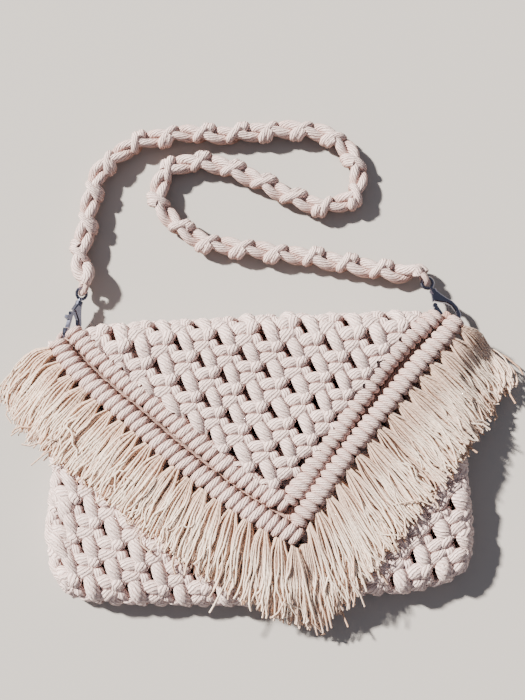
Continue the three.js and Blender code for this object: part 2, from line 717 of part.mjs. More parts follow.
// Snap hooks, each in its own frame: +Y to the eye, -Y to the bow.
const swivel = ({ sign, inward, out, z }) => [sign * (HALF_WIDTH - inward), MOUTH + out, z];
for (const [side, place] of Object.entries(CLASPS)) {
  const frame = new THREE.Group();
  frame.position.set(...swivel(place));
  frame.rotation.set(0, 0, radians(place.heading), 'ZYX');
  const rolled = new THREE.Group();
  rolled.rotation.y = radians(place.roll);
  const eyeFrame = new THREE.Group();
  eyeFrame.rotation.y = radians(place.eyeRoll);
  frame.add(rolled, eyeFrame);
  bag.add(frame);
  add(eyeFrame, `clasp_${side}_eye`, eyeSolid(), 'chrome');
  add(rolled, `clasp_${side}_hook`, hookSolid(), 'chrome');
  const pin = new THREE.Group();
  pin.position.set(PIVOT.x, PIVOT.y, 0);
  rolled.add(pin);
  add(pin, `clasp_${side}_gate`, leverSolid(), 'chrome');
}
for (const [name, rows] of Object.entries(CORNER_LOOPS)) {
  const sign = name.endsWith('left') ? -1 : 1;
  const route = rows.map(([inward, out, z]) => [
    sign * (HALF_WIDTH - inward), MOUTH + 2 * GAP + out, z,
  ]);
  add(bag, name, cord(route, CORD_DIAMETER, 8, 9), 'cotton');
}

// Strap ends: each end face stands just past its clasp's eye, and a loop of cord from that face
// passes through the eye.
const eyeMiddle = EYE_RADIUS + POST_DIAMETER / 2 + GAP;
const strapEndReach = eyeMiddle + EYE_RADIUS + EYE_WIRE / 2 + CORD_DIAMETER / 2;
const strapEnds = {};
for (const [side, place] of Object.entries(CLASPS)) {
  const turn = radians(place.heading);
  const roll = radians(place.eyeRoll);
  const [x0, y0, z0] = swivel(place);
  const local = (y, w) => [
    x0 - Math.sin(turn) * y + Math.cos(turn) * Math.sin(roll) * w,
    y0 + Math.cos(turn) * y + Math.sin(turn) * Math.sin(roll) * w,
    z0 + Math.cos(roll) * w,
  ];
  const swing = EYE_WIRE / 2 + CORD_DIAMETER / 2 + GAP;
  const bend = eyeMiddle + EYE_RADIUS;
  const loop = [
    local(strapEndReach, -swing), local(bend, -swing),
    local(bend - 0.72 * swing, -0.72 * swing), local(bend - swing, 0),
    local(bend - 0.72 * swing, 0.72 * swing), local(bend, swing), local(strapEndReach, swing),
  ];
  add(bag, `strap_loop_${side}`, cord(loop, CORD_DIAMETER, 8, 8), 'cotton');
  strapEnds[side] = [local(strapEndReach + GAP, 0), local(strapEndReach + GAP + 5, 0)];
}
const rest = STRAP_DIAMETER / 2 + GAP;
const strapRoute = [
  ...strapEnds.left,
  ...STRAP_ROUTE.map(([x, y]) => [x, y, rest]),
  ...strapEnds.right.slice().reverse(),
];
add(bag, 'strap', cord(strapRoute, STRAP_DIAMETER, 8, 46), 'cotton');

export default bag;
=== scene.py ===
# %% [markdown]
# # A knotted cotton envelope bag
# The bag is one strip of cotton cord, knotted in rows of square knots. It is folded up at the
# bottom into a pouch and over at the top into a pointed flap. Two wound ridges run along each
# edge of the flap, and the cords' unravelled ends hang under them as a fringe. A knotted strap
# lies above the bag, held by two small chromed snap hooks. This script dresses the fixed frame
# of solids with those cords, one kind of knot at a time.

# %% Load the frame
import math

import bmesh
import bpy
import numpy as np
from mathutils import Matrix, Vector


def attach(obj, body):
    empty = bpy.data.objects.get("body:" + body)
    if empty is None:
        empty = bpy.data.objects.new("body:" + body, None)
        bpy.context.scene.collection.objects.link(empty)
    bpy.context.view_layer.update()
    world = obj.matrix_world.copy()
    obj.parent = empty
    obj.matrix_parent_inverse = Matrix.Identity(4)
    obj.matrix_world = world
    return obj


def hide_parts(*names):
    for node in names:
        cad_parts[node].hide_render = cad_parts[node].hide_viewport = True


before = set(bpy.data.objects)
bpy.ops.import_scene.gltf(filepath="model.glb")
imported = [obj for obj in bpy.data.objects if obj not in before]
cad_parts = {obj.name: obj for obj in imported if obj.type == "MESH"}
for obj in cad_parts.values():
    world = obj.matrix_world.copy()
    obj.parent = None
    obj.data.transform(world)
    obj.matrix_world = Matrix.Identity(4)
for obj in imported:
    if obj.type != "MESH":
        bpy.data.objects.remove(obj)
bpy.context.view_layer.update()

MM = 0.001

# %% [markdown]
# ## Camera
# The bag lies on its back and is seen from almost straight above. The camera stands a little
# towards the bottom fold and looks up the bag. Its distance and focal length come from how much
# the sides of the bag converge, so they give the near parts their true size against the far ones.

# %% Camera
PHOTO_HEIGHT = 700
FOCAL_PIXELS = 952
SENSOR = 36.0
ELEVATION = math.radians(79.0)
TURN = math.radians(2.7)
DISTANCE = 620 * MM
LOOK_AT = Vector((6.5, 70.0, 12.0)) * MM

ahead = Vector((
    math.sin(TURN) * math.cos(ELEVATION),
    math.cos(TURN) * math.cos(ELEVATION),
    -math.sin(ELEVATION),
))
camera_data = bpy.data.cameras.new("camera")
camera_data.sensor_fit = "VERTICAL"
camera_data.sensor_height = SENSOR
camera_data.lens = FOCAL_PIXELS / PHOTO_HEIGHT * SENSOR
camera_data.clip_start = 0.01
camera = bpy.data.objects.new("camera", camera_data)
camera.location = LOOK_AT - DISTANCE * ahead
camera.rotation_euler = ahead.to_track_quat("-Z", "Y").to_euler()
bpy.context.scene.collection.objects.link(camera)
bpy.context.scene.camera = camera
print("camera at", [round(v, 3) for v in camera.location])

# %% [markdown]
# ## Lines that become cords
# Every soft part here is cord or yarn. A cord could be a bevelled curve object, but hundreds of
# those are slow and can't carry extra values along them. So each cord starts as a plain line: a
# mesh of vertices joined by edges, with named values on its points, such as how thick it is
# there. Geometry Nodes then turn all the lines of one piece into tubes in a single tree.

# %% Lines with named values


def line_mesh(name, lines, values):
    """Mesh of open lines in millimetres. values maps a name to one array for each line."""
    points = np.concatenate(lines) * MM
    edges = []
    start = 0
    for line in lines:
        count = len(line)
        first = np.arange(start, start + count - 1)
        edges.append(np.stack([first, first + 1], axis=1))
        start += count
    mesh = bpy.data.meshes.new(name)
    mesh.from_pydata(points.tolist(), np.concatenate(edges).tolist(), [])
    for key, arrays in values.items():
        flat = np.concatenate(arrays).astype(np.float32)
        kind = "FLOAT_VECTOR" if flat.ndim == 2 else "FLOAT"
        layer = mesh.attributes.new(key, kind, "POINT")
        layer.data.foreach_set("vector" if flat.ndim == 2 else "value", flat.ravel())
    thing = bpy.data.objects.new(name, mesh)
    bpy.context.scene.collection.objects.link(thing)
    return thing


def smooth(points, values, steps, before=None, after=None):
    """Catmull-Rom line through control points, with values carried along it."""
    control = np.column_stack([np.asarray(points, float), np.asarray(values, float)])
    first = 2 * control[0] - control[1] if before is None else np.asarray(before, float)
    last = 2 * control[-1] - control[-2] if after is None else np.asarray(after, float)
    padded = np.vstack([first, control, last])
    t = (np.arange(steps) / steps)[:, None]
    pieces = []
    for k in range(1, len(padded) - 2):
        a, b, c, d = padded[k - 1:k + 3]
        pieces.append(0.5 * (
            2 * b + (c - a) * t + (2 * a - 5 * b + 4 * c - d) * t ** 2
            + (3 * b - a - 3 * c + d) * t ** 3
        ))
    result = np.vstack(pieces + [control[-1:]])
    return result[:, :3], result[:, 3:]


def resample(points, count):
    """Points evenly spaced along a line, with the line's length."""
    points = np.asarray(points, float)
    steps = np.linalg.norm(np.diff(points, axis=0), axis=1)
    along = np.concatenate([[0], np.cumsum(steps)])
    at = np.linspace(0, along[-1], count)
    even = np.column_stack([np.interp(at, along, points[:, k]) for k in range(points.shape[1])])
    return even, along[-1]


# %% [markdown]
# ## The tree that sweeps a cord
# The tree runs a circle along each curve, scaled at each point by the thickness kept there. It also writes down how far along and how far round the cord each point of the
# skin lies. Those two numbers make a UV map, so that a twist can be painted along every cord,
# however it bends.

# %% Sweep tree


def new_tree(name, inputs):
    """Geometry node tree with named inputs, each a name, a socket type and a value."""
    tree = bpy.data.node_groups.new(name, "GeometryNodeTree")
    face = tree.interface
    face.new_socket("Geometry", in_out="INPUT", socket_type="NodeSocketGeometry")
    for label, kind, value in inputs:
        socket = face.new_socket(label, in_out="INPUT", socket_type=kind)
        if value is not None:
            socket.default_value = value
    face.new_socket("Geometry", in_out="OUTPUT", socket_type="NodeSocketGeometry")
    return tree, tree.nodes.new("NodeGroupInput"), tree.nodes.new("NodeGroupOutput")


def node(tree, kind, inputs=None, **settings):
    """Adds a node, sets its properties, and links or fills its inputs by name or number."""
    made = tree.nodes.new(kind)
    for key, value in settings.items():
        setattr(made, key, value)
    for key, value in (inputs or {}).items():
        if isinstance(value, bpy.types.NodeSocket):
            tree.links.new(value, made.inputs[key])
        else:
            made.inputs[key].default_value = value
    return made


def keep_value(tree, geometry, name, value, kind="FLOAT"):
    """Stores a value on the points under a name."""
    stored = node(
        tree, "GeometryNodeStoreNamedAttribute",
        {"Geometry": geometry, "Name": name}, data_type=kind, domain="POINT",
    )
    tree.links.new(value, stored.inputs["Value"])
    return stored.outputs["Geometry"]


def read_value(tree, name, kind="FLOAT"):
    return node(
        tree, "GeometryNodeInputNamedAttribute", {"Name": name}, data_type=kind,
    ).outputs["Attribute"]


def sweep(tree, curve, sides, material):
    """Tubes along curves, with the way along and round them kept for the UV map."""
    length = tree.nodes.new("GeometryNodeSplineParameter").outputs["Length"]
    measured = keep_value(tree, curve, "along", length)
    circle = node(tree, "GeometryNodeCurvePrimitiveCircle", {"Resolution": sides, "Radius": 1.0})
    turn = tree.nodes.new("GeometryNodeSplineParameter").outputs["Factor"]
    ring = keep_value(tree, circle.outputs[0], "around", turn)
    tube = node(
        tree, "GeometryNodeCurveToMesh",
        {
            "Curve": measured, "Profile Curve": ring, "Fill Caps": True,
            "Scale": read_value(tree, "thick"),
        },
    )
    smooth_faces = node(tree, "GeometryNodeSetShadeSmooth", {0: tube.outputs[0]})
    real = node(tree, "GeometryNodeRealizeInstances", {0: smooth_faces.outputs[0]})
    painted = node(
        tree, "GeometryNodeSetMaterial", {"Geometry": real.outputs[0], "Material": material},
    )
    return painted.outputs[0]


def cord_tree():
    tree, start, end = new_tree("swept cords", [
        ("Sides", "NodeSocketInt", 8), ("Material", "NodeSocketMaterial", None),
    ])
    curve = node(tree, "GeometryNodeMeshToCurve", {"Mesh": start.outputs["Geometry"]})
    swept = sweep(tree, curve.outputs[0], start.outputs["Sides"], start.outputs["Material"])
    tree.links.new(swept, end.inputs[0])
    return tree


def grow(source, tree, name, **values):
    """Runs a tree on an object and returns the result as a plain mesh object."""
    modifier = source.modifiers.new(tree.name, "NODES")
    modifier.node_group = tree
    for item in tree.interface.items_tree:
        if item.in_out == "INPUT" and item.name.replace(" ", "_") in values:
            modifier[item.identifier] = values[item.name.replace(" ", "_")]
    bpy.context.view_layer.update()
    evaluated = source.evaluated_get(bpy.context.evaluated_depsgraph_get())
    mesh = bpy.data.meshes.new_from_object(evaluated)
    mesh.name = name
    source.modifiers.remove(modifier)
    bpy.data.objects.remove(source)
    thing = bpy.data.objects.new(name, mesh)
    bpy.context.scene.collection.objects.link(thing)
    unwrap(mesh)
    return thing


def unwrap(mesh):
    """UV map from the kept values: once round the cord is 1, and a metre along it is 1."""
    count = len(mesh.loops)
    corner = np.empty(count, np.int32)
    mesh.loops.foreach_get("vertex_index", corner)
    first = np.empty(len(mesh.polygons), np.int32)
    mesh.polygons.foreach_get("loop_start", first)
    size = np.empty(len(mesh.polygons), np.int32)
    mesh.polygons.foreach_get("loop_total", size)
    value = {}
    for key in ("around", "along"):
        value[key] = np.empty(len(mesh.vertices), np.float32)
        mesh.attributes[key].data.foreach_get("value", value[key])
    turn = value["around"][corner]
    widest = np.repeat(np.maximum.reduceat(turn, first), size)
    turn = np.where(turn < widest - 0.5, turn + 1, turn)
    layer = mesh.uv_layers.new(name="cord")
    pair = np.stack([turn, value["along"][corner]], axis=1).astype(np.float32)
    layer.data.foreach_set("uv", pair.ravel())


def places(thing):
    """Vertices of a piece as an array in millimetres."""
    flat = np.empty(3 * len(thing.data.vertices), np.float32)
    thing.data.vertices.foreach_get("co", flat)
    return flat.reshape(-1, 3).astype(float) / MM


def put(thing, points, depth=None):
    """Writes the vertices back, and how deep each lies, which the cotton paints as shade: 0 is deep, 1 on
    top.
    """
    thing.data.vertices.foreach_set("co", (points * MM).astype(np.float32).ravel())
    if depth is not None:
        layer = thing.data.attributes.get("depth")
        layer = layer or thing.data.attributes.new("depth", "FLOAT", "POINT")
        layer.data.foreach_set("value", np.clip(depth, 0, 1).astype(np.float32))
    thing.data.update()


def triangles(thing):
    return sum(len(p.vertices) - 2 for p in thing.data.polygons)


SWEPT_CORDS = cord_tree()
print("tree:", SWEPT_CORDS.name)

# %% [markdown]
# ## Cotton that is twisted once
# The cord is hundreds of soft yarns with a single twist, so its skin shows fine slanted lines
# and no plies. The lines are a wave across the UV map that climbs as it goes round. One shader
# group makes them for every cord, with its own count of lines and its own twist, and gives a
# height for the bump and a groove mask for painted shade in the grooves. Streaks that run with
# the lines break them up, as loose fibres do.

# %% Shader group for the twist


def shader_group(name, inputs, outputs):
    group = bpy.data.node_groups.new(name, "ShaderNodeTree")
    for label, kind, value in inputs:
        socket = group.interface.new_socket(label, in_out="INPUT", socket_type=kind)
        if value is not None:
            socket.default_value = value
    for label, kind in outputs:
        group.interface.new_socket(label, in_out="OUTPUT", socket_type=kind)
    return group, group.nodes.new("NodeGroupInput"), group.nodes.new("NodeGroupOutput")


def maths(tree, operation, a, b=None):
    made = tree.nodes.new("ShaderNodeMath")
    made.operation = operation
    for slot, value in ((0, a), (1, b)):
        if isinstance(value, bpy.types.NodeSocket):
            tree.links.new(value, made.inputs[slot])
        elif value is not None:
            made.inputs[slot].default_value = value
    return made.outputs[0]


def twist_group():
    group, start, end = shader_group("twisted yarns", [
        ("UV", "NodeSocketVector", None),
        ("Lines", "NodeSocketFloat", 9.0),
        ("Turns per metre", "NodeSocketFloat", 37.0),
        ("Unevenness", "NodeSocketFloat", 0.9),
    ], [("Height", "NodeSocketFloat"), ("Groove", "NodeSocketFloat")])
    parts = node(group, "ShaderNodeSeparateXYZ", {"Vector": start.outputs["UV"]})
    climb = maths(group, "MULTIPLY", parts.outputs["Y"], start.outputs["Turns per metre"])
    turned = maths(group, "ADD", parts.outputs["X"], climb)
    noise = node(group, "ShaderNodeTexNoise", {
        "Vector": node(group, "ShaderNodeTexCoord").outputs["Object"],
        "Scale": 330.0, "Detail": 2.0,
    })
    wander = maths(group, "MULTIPLY", noise.outputs[0], start.outputs["Unevenness"])
    phase = maths(group, "ADD", maths(group, "MULTIPLY", turned, start.outputs["Lines"]), wander)
    wave = maths(group, "COSINE", maths(group, "MULTIPLY", phase, 2 * math.pi))
    half = maths(group, "MULTIPLY", maths(group, "ADD", wave, 1.0), 0.5)
    ridge = maths(group, "POWER", half, 0.7)
    lengthwise = node(group, "ShaderNodeCombineXYZ", {
        "X": maths(group, "MULTIPLY", phase, 2.6),
        "Y": maths(group, "MULTIPLY", parts.outputs["Y"], 140.0),
    })
    streaks = node(group, "ShaderNodeTexNoise", {
        "Vector": lengthwise.outputs[0], "Scale": 1.0, "Detail": 3.0, "Roughness": 0.65,
    })
    uneven = maths(group, "SUBTRACT", streaks.outputs[0], 0.5)
    height = maths(group, "ADD", maths(group, "MULTIPLY", ridge, 0.5), uneven)
    group.links.new(height, end.inputs["Height"])
    shade = maths(group, "ADD", maths(group, "SUBTRACT", 1.0, ridge), uneven)
    clean = node(group, "ShaderNodeClamp", {0: shade})
    group.links.new(clean.outputs[0], end.inputs["Groove"])
    return group


TWISTED_YARNS = twist_group()
print("shader group:", TWISTED_YARNS.name)

# %% [markdown]
# ## Cotton colour and its painted shade
# Cream cotton in sun is nearly white on top. Deep between the knots it is painted warm brown as
# shade, because light that reaches there has touched other cords first. The depth kept on the
# points drives that painted shade, the grooves of the twist add a little painted shade of their
# own, and a faint noise varies the cream.

# %% Cotton materials


# Painted shade: the colour ramp runs from a brown shade colour deep between cords to cream on top, and
# the shade tints set its middle stop, deeper for the knots than for the wound ridges, strap and yarns.
DEEP_SHARE = 0.2
KNOT_SHADE = (0.80, 0.71, 0.73)
WOUND_SHADE = (0.90, 0.84, 0.83)


def cotton(name, top, deep, shade, lines, turns, relief, groove_shade_strength=0.65):
    look = bpy.data.materials.new(name)
    look.use_nodes = True
    tree = look.node_tree
    shader = tree.nodes["Principled BSDF"]
    uv = node(tree, "ShaderNodeUVMap", uv_map="cord")
    yarns = node(tree, "ShaderNodeGroup", node_tree=TWISTED_YARNS)
    tree.links.new(uv.outputs[0], yarns.inputs["UV"])
    yarns.inputs["Lines"].default_value = lines
    yarns.inputs["Turns per metre"].default_value = turns
    # Painted shade: the depth value on the points picks the colour, brown shade deep down and cream on
    # top.
    depth = node(tree, "ShaderNodeAttribute", attribute_name="depth")
    ramp = tree.nodes.new("ShaderNodeValToRGB")
    ramp.color_ramp.elements[0].position = 0.12
    ramp.color_ramp.elements[0].color = (*deep, 1)
    ramp.color_ramp.elements[1].position = 0.95
    ramp.color_ramp.elements[1].color = (*top, 1)
    between = ramp.color_ramp.elements.new(0.74)
    between.color = (*(DEEP_SHARE * d + (1 - DEEP_SHARE) * t * s for d, t, s in zip(deep, top, shade)), 1)
    tree.links.new(depth.outputs["Fac"], ramp.inputs[0])
    noise = node(tree, "ShaderNodeTexNoise", {
        "Vector": node(tree, "ShaderNodeTexCoord").outputs["Object"],
        "Scale": 55.0, "Detail": 3.0,
    })
    tint = node(tree, "ShaderNodeMix", {
        0: maths(tree, "MULTIPLY", noise.outputs[0], 0.5),
        7: (0.78, 0.71, 0.74, 1),
    }, data_type="RGBA", blend_type="MULTIPLY")
    tree.links.new(ramp.outputs[0], tint.inputs[6])
    # Painted shade in the grooves of the twist: the groove mask darkens the colour there.
    lined = node(tree, "ShaderNodeMix", {
        0: maths(tree, "MULTIPLY", yarns.outputs["Groove"], groove_shade_strength),
        6: tint.outputs[2], 7: (0.52, 0.40, 0.38, 1),
    }, data_type="RGBA", blend_type="MULTIPLY")
    tree.links.new(lined.outputs[2], shader.inputs["Base Color"])
    bump = node(tree, "ShaderNodeBump", {
        "Height": yarns.outputs["Height"], "Distance": relief, "Strength": 1.0,
    })
    tree.links.new(bump.outputs[0], shader.inputs["Normal"])
    shader.inputs["Roughness"].default_value = 0.92
    shader.inputs["Specular IOR Level"].default_value = 0.25
    shader.inputs["Sheen Weight"].default_value = 0.12
    shader.inputs["Sheen Roughness"].default_value = 0.5
    return look


# The creams are the cotton's own colour; the brown and the tan are painted shade for the deep parts.
CREAM = (0.95, 0.78, 0.73)
SHADE_BROWN = (0.55, 0.33, 0.25)
YARN_CREAM = (0.96, 0.83, 0.69)
YARN_SHADE_TAN = (0.60, 0.40, 0.27)
KNOT_COTTON = cotton("knotted cotton", CREAM, SHADE_BROWN, KNOT_SHADE, 11, 38, 0.0014)
RIDGE_COTTON = cotton("wound cotton", CREAM, SHADE_BROWN, WOUND_SHADE, 11, 38, 0.0014)
STRAP_COTTON = cotton("strap cotton", CREAM, SHADE_BROWN, WOUND_SHADE, 11, 26, 0.0014)
YARN_COTTON = cotton("unravelled cotton", YARN_CREAM, YARN_SHADE_TAN, WOUND_SHADE, 2, 160, 0.0002)
print("cotton looks: 4")

# %% [markdown]
# ## The strap
# The strap is knotted from a few cords: two run on side by side, crossing each other, and a
# hitch is drawn round them about every 23 mm. It lies loose on the surface in an S and its whole
# length shows. Its middle line is a list of points. The strands are lines wound about it, swept
# as cords, with everything that would sink into the surface pressed flat on it.

# %% Route of the strap
STRAP_DIAMETER = 12.0
STRAP_REST = STRAP_DIAMETER / 2 + 0.3
STRAP_ROUTE = [
    [-112, 136], [-109.8, 152], [-106.9, 169.5], [-104, 184], [-98.3, 200], [-87.9, 210],
    [-74.1, 218.3], [-56.8, 223], [-39.5, 225], [-19, 222.6], [1.7, 222.8], [22.4, 224.6],
    [43, 223.6], [60, 218.4], [70, 209.2], [76.4, 197], [77.6, 185.8], [74, 175.4], [65.2, 170],
    [53.5, 168.6], [42.1, 170.5], [26.9, 177.5], [11.7, 186.8], [-3, 194.5], [-19.8, 201.5],
    [-36.8, 203.2], [-50.6, 199], [-57.7, 188.6], [-58.1, 176], [-51.6, 164.8], [-41.8, 154.6],
    [-28.6, 147], [-11.9, 143], [8.1, 139.5], [28, 135.2], [47.9, 131], [67.7, 126],
    [87.5, 121.4], [102, 118.4],
]
LEFT_END = [[-109.2, 120.8, 9.6], [-107.9, 125.6, 9.6]]
RIGHT_END = [[111.8, 120.8, 9.8], [114.3, 116.5, 9.8]]
route = np.array(LEFT_END + [[x, y, STRAP_REST] for x, y in STRAP_ROUTE] + RIGHT_END)
line, _ = smooth(route, np.zeros((len(route), 1)), 12)
STRAP_LINE, STRAP_LENGTH = resample(line, 400)
print("strap length, mm:", round(STRAP_LENGTH, 1))

# %% Frames along a line
UP = np.array([0.0, 0.0, 1.0])


def frames(line):
    """Heading, side and upright direction at each point of a line."""
    heading = np.gradient(line, axis=0)
    heading /= np.linalg.norm(heading, axis=1)[:, None]
    side = np.cross(UP, heading)
    side /= np.linalg.norm(side, axis=1)[:, None]
    return heading, side, np.cross(heading, side)


def at_length(line, share):
    """Values of an evenly spaced line at shares of its length."""
    where = np.clip(share, 0, 1) * (len(line) - 1)
    index = np.arange(len(line))
    return np.column_stack([np.interp(where, index, line[:, k]) for k in range(line.shape[1])])


# %% Strands and hitches of the strap
STRAND_RADIUS = 3.5
STRAND_TURN = 46.0
HITCH_PITCH = 23.0
_, strap_side, strap_up = frames(STRAP_LINE)
rng = np.random.default_rng(5)


def strap_point(share, aside, upward):
    """Point beside the strap's middle line, at shares of its length."""
    middle = at_length(STRAP_LINE, share)
    return (
        middle + at_length(strap_side, share) * aside[:, None]
        + at_length(strap_up, share) * upward[:, None]
    )


def strap_lines():
    lines, thick = [], []
    share = np.linspace(0, 1, 300)
    run = share * STRAP_LENGTH
    near_hitch = np.cos(2 * math.pi * run / HITCH_PITCH) * 0.5 + 0.5
    left_end = np.clip(1 - run / 34, 0, 1)
    for strand in range(2):
        angle = 2 * math.pi * run / STRAND_TURN + math.pi * strand + math.pi / 2
        reach = 3.1 - 0.6 * near_hitch + 0.7 * left_end
        lines.append(strap_point(share, reach * np.cos(angle), 0.9 * reach * np.sin(angle)))
        swell = 0.25 * np.sin(run / 31 + strand) + 0.5 * left_end
        thick.append((STRAND_RADIUS - 0.3 * near_hitch + swell) * MM)
    hitches = int(STRAP_LENGTH / HITCH_PITCH)
    for k in range(1, hitches):
        place = k * HITCH_PITCH / STRAP_LENGTH
        turn = np.linspace(-0.15, 1.2, 20) * 2 * math.pi
        lean = 5.5 + rng.uniform(-1.2, 1.6)
        flip = -1 if rng.random() < 0.7 else 1
        nub = np.clip(np.cos(turn - 0.2), 0, 1) ** 2
        aside = flip * (3.9 * np.cos(turn) + 1.5 * nub)
        upward = 3.9 * np.sin(turn)
        shift = 0.75 * lean * flip * np.cos(turn) + (turn / (2 * math.pi) - 0.5) * 3.6
        lines.append(strap_point(place + shift / STRAP_LENGTH, aside, upward))
        thick.append((2.7 + 0.8 * nub) * MM)
    return lines, thick


lines, thick = strap_lines()
source = line_mesh("strap_lines", lines, {"thick": thick})
strap = grow(source, SWEPT_CORDS, "knotted_strap", Sides=9, Material=STRAP_COTTON)
points = places(strap)
low = 0.15
points[:, 2] = np.maximum(points[:, 2], low)
# Painted shade: the lower the point, the lower its depth value, so the strap's underside near the floor
# is painted darker.
put(strap, points, (points[:, 2] - 2.0) / 9.0)
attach(strap, "bag")
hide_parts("strap")
print("strap triangles:", triangles(strap))

# %% Loops of cord at the hooks
MOUTH = 72.0
SWIVELS = {
    "left": {"place": (-112.7, 108.7, 9.6), "heading": -16, "roll": 40},
    "right": {"place": (120.6, 105.6, 9.8), "heading": 30, "roll": 0},
}
EYE_MIDDLE = 5.5
EYE_RADIUS = 3.7
EYE_WIRE = 2.2
LOOP_CORD = 4.0
CORNER_LOOPS = {
    "left": [
        [-127.5, 0, 10], [-127.5, 7, 10], [-125.2, 13.4, 10], [-120, 16.2, 9.8],
        [-115, 13.4, 9.6], [-113, 7, 9.6], [-113, 0, 9.6],
    ],
    "right": [
        [127, 0, 5], [127.4, 2.5, 4.8], [130, 8, 4.6], [132.3, 12.4, 6.6], [132.8, 13.4, 9.9],
        [132.3, 12.4, 13.2], [130, 8, 15.2], [127.4, 2.5, 15], [127, 0, 14.8],
    ],
}


def swivel_point(name, along, across):
    """Point beside a snap hook's swivel, along its length and across its eye."""
    place = SWIVELS[name]
    turn, roll = math.radians(place["heading"]), math.radians(place["roll"])
    x, y, z = place["place"]
    return [
        x - math.sin(turn) * along + math.cos(turn) * math.sin(roll) * across,
        y + math.cos(turn) * along + math.sin(turn) * math.sin(roll) * across,
        z + math.cos(roll) * across,
    ]


def plain_cord(name, route, radius, node_name, look):
    line, _ = smooth(route, np.zeros((len(route), 1)), 6)
    source = line_mesh(name, [line], {"thick": [np.full(len(line), radius * MM)]})
    made = grow(source, SWEPT_CORDS, name, Sides=12, Material=look)
    put(made, places(made), np.full(len(made.data.vertices), 0.8))
    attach(made, "bag")
    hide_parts(node_name)
    return made


swing = EYE_WIRE / 2 + LOOP_CORD / 2 + 0.3
bend = EYE_MIDDLE + EYE_RADIUS
loop_end = EYE_MIDDLE + EYE_RADIUS + EYE_WIRE / 2 + LOOP_CORD / 2
for side in SWIVELS:
    route = [
        swivel_point(side, loop_end, -swing), swivel_point(side, bend, -swing),
        swivel_point(side, bend - 0.72 * swing, -0.72 * swing),
        swivel_point(side, bend - swing, 0),
        swivel_point(side, bend - 0.72 * swing, 0.72 * swing),
        swivel_point(side, bend, swing), swivel_point(side, loop_end, swing),
    ]
    plain_cord(f"eye_cord_{side}", route, 1.95, f"strap_loop_{side}",
               STRAP_COTTON)
    route = [[x, MOUTH + 0.6 + out, z] for x, out, z in CORNER_LOOPS[side]]
    plain_cord(f"corner_cord_{side}", route, 1.95, f"corner_loop_{side}",
               KNOT_COTTON)
print("loops: 4")

# %% [markdown]
# ## One square knot
# A square knot has four cords. Two fillers run straight down its middle. The left working cord
# crosses over them to the right and comes back, which shows as two short bars. The right working
# cord passes behind, comes up at the left, and runs down over both bars' ends as one long
# stroke, the brightest thing in the pattern. Each cord is a short table of places across, up and
# out of the fabric, with its radius there, and the table's ends meet the next knots' tables.

# %% Tables of the knot's four cords
KNOT_PITCH = 27.0
ROW_PITCH = 12.3
LEFT_WORKING = [
    (-8.35, 4.95, -1.8, 2.5), (-6.3, 4.6, 0.3, 2.8), (-4.0, 4.6, 2.6, 3.4), (-1.2, 4.8, 4.0, 3.8),
    (1.6, 4.6, 4.0, 3.7), (4.2, 3.6, 2.2, 3.2), (6.3, 1.2, 0.0, 2.7), (5.9, -1.5, 1.4, 3.0),
    (3.4, -2.6, 3.2, 3.6), (0.2, -2.8, 4.2, 3.9), (-3.0, -3.0, 3.6, 3.6), (-5.8, -3.7, 1.0, 2.9),
    (-8.25, -5.15, -2.2, 2.5),
]
LEFT_FILLER = [
    (-4.95, 7.55, 1.5, 2.8), (-3.2, 5.8, -0.4, 2.5), (-2.3, 3.0, -0.8, 2.4),
    (-2.2, -1.0, -0.8, 2.4), (-2.6, -4.4, -0.2, 2.5), (-4.0, -5.3, 2.0, 3.1),
    (-5.85, -6.45, 3.9, 4.2),
]
RIGHT_FILLER = [
    (5.25, 7.15, -2.2, 2.5), (3.2, 5.3, -1.2, 2.4), (2.3, 3.0, -0.8, 2.4), (2.3, -1.5, -0.8, 2.4),
    (3.2, -4.9, -1.0, 2.5), (5.15, -7.35, -1.8, 2.5),
]
RIGHT_WORKING = [
    (7.65, 5.85, 3.9, 4.2), (5.7, 4.5, 4.2, 4.1), (3.8, 2.5, 1.2, 3.0), (1.5, 0.8, -3.6, 2.3),
    (-2.0, 2.6, -4.2, 2.3), (-6.0, 6.2, -3.8, 2.4), (-10.0, 8.1, -0.8, 2.9), (-10.7, 6.2, 3.2, 3.6),
    (-9.6, 2.9, 5.2, 4.0), (-8.2, -1.0, 5.4, 4.1), (-6.7, -4.7, 3.8, 3.8), (-5.2, -7.1, 0.4, 2.9),
    (-3.0, -5.0, -3.4, 2.4), (1.5, -2.2, -4.2, 2.3), (5.4, -0.4, -2.4, 2.4), (8.2, -0.9, 1.0, 3.0),
    (8.8, -2.8, 3.0, 3.4), (8.55, -4.75, 1.5, 2.9),
]
STEP_DOWN_LEFT = np.array([-KNOT_PITCH / 2, -ROW_PITCH, 0, 0])
STEP_DOWN_RIGHT = np.array([KNOT_PITCH / 2, -ROW_PITCH, 0, 0])


def knot_lines():
    """The four cords, each smooth across the joins to the knots above and below."""
    a, b, c, d = (np.array(t) for t in (LEFT_WORKING, LEFT_FILLER, RIGHT_FILLER, RIGHT_WORKING))
    joins = [
        (a, c[-2] - STEP_DOWN_RIGHT, c[1] + STEP_DOWN_LEFT),
        (b, d[-2] - STEP_DOWN_RIGHT, d[1] + STEP_DOWN_LEFT),
        (c, a[-2] - STEP_DOWN_LEFT, a[1] + STEP_DOWN_RIGHT),
        (d, b[-2] - STEP_DOWN_LEFT, b[1] + STEP_DOWN_RIGHT),
    ]
    lines, thick = [], []
    for table, before, after in joins:
        line, radius = smooth(table[:, :3], table[:, 3:], 2, before, after)
        lines.append(line)
        thick.append(radius[:, 0] * MM)
    return lines, thick


lines, thick = knot_lines()
ONE_KNOT = line_mesh("one_knot", lines, {"thick": thick})
ONE_KNOT.hide_render = True
print("points in a knot:", len(ONE_KNOT.data.vertices))

# %% [markdown]
# ## A flat panel of knots
# Real panels are knotted flat on a board and folded afterwards, and this one is made the same
# way. A mesh holds one point for each knot, a tree sets the knot on every point and sweeps all
# the cords, and the flat result is then bent round the bag by moving its vertices.

# %% Panel tree


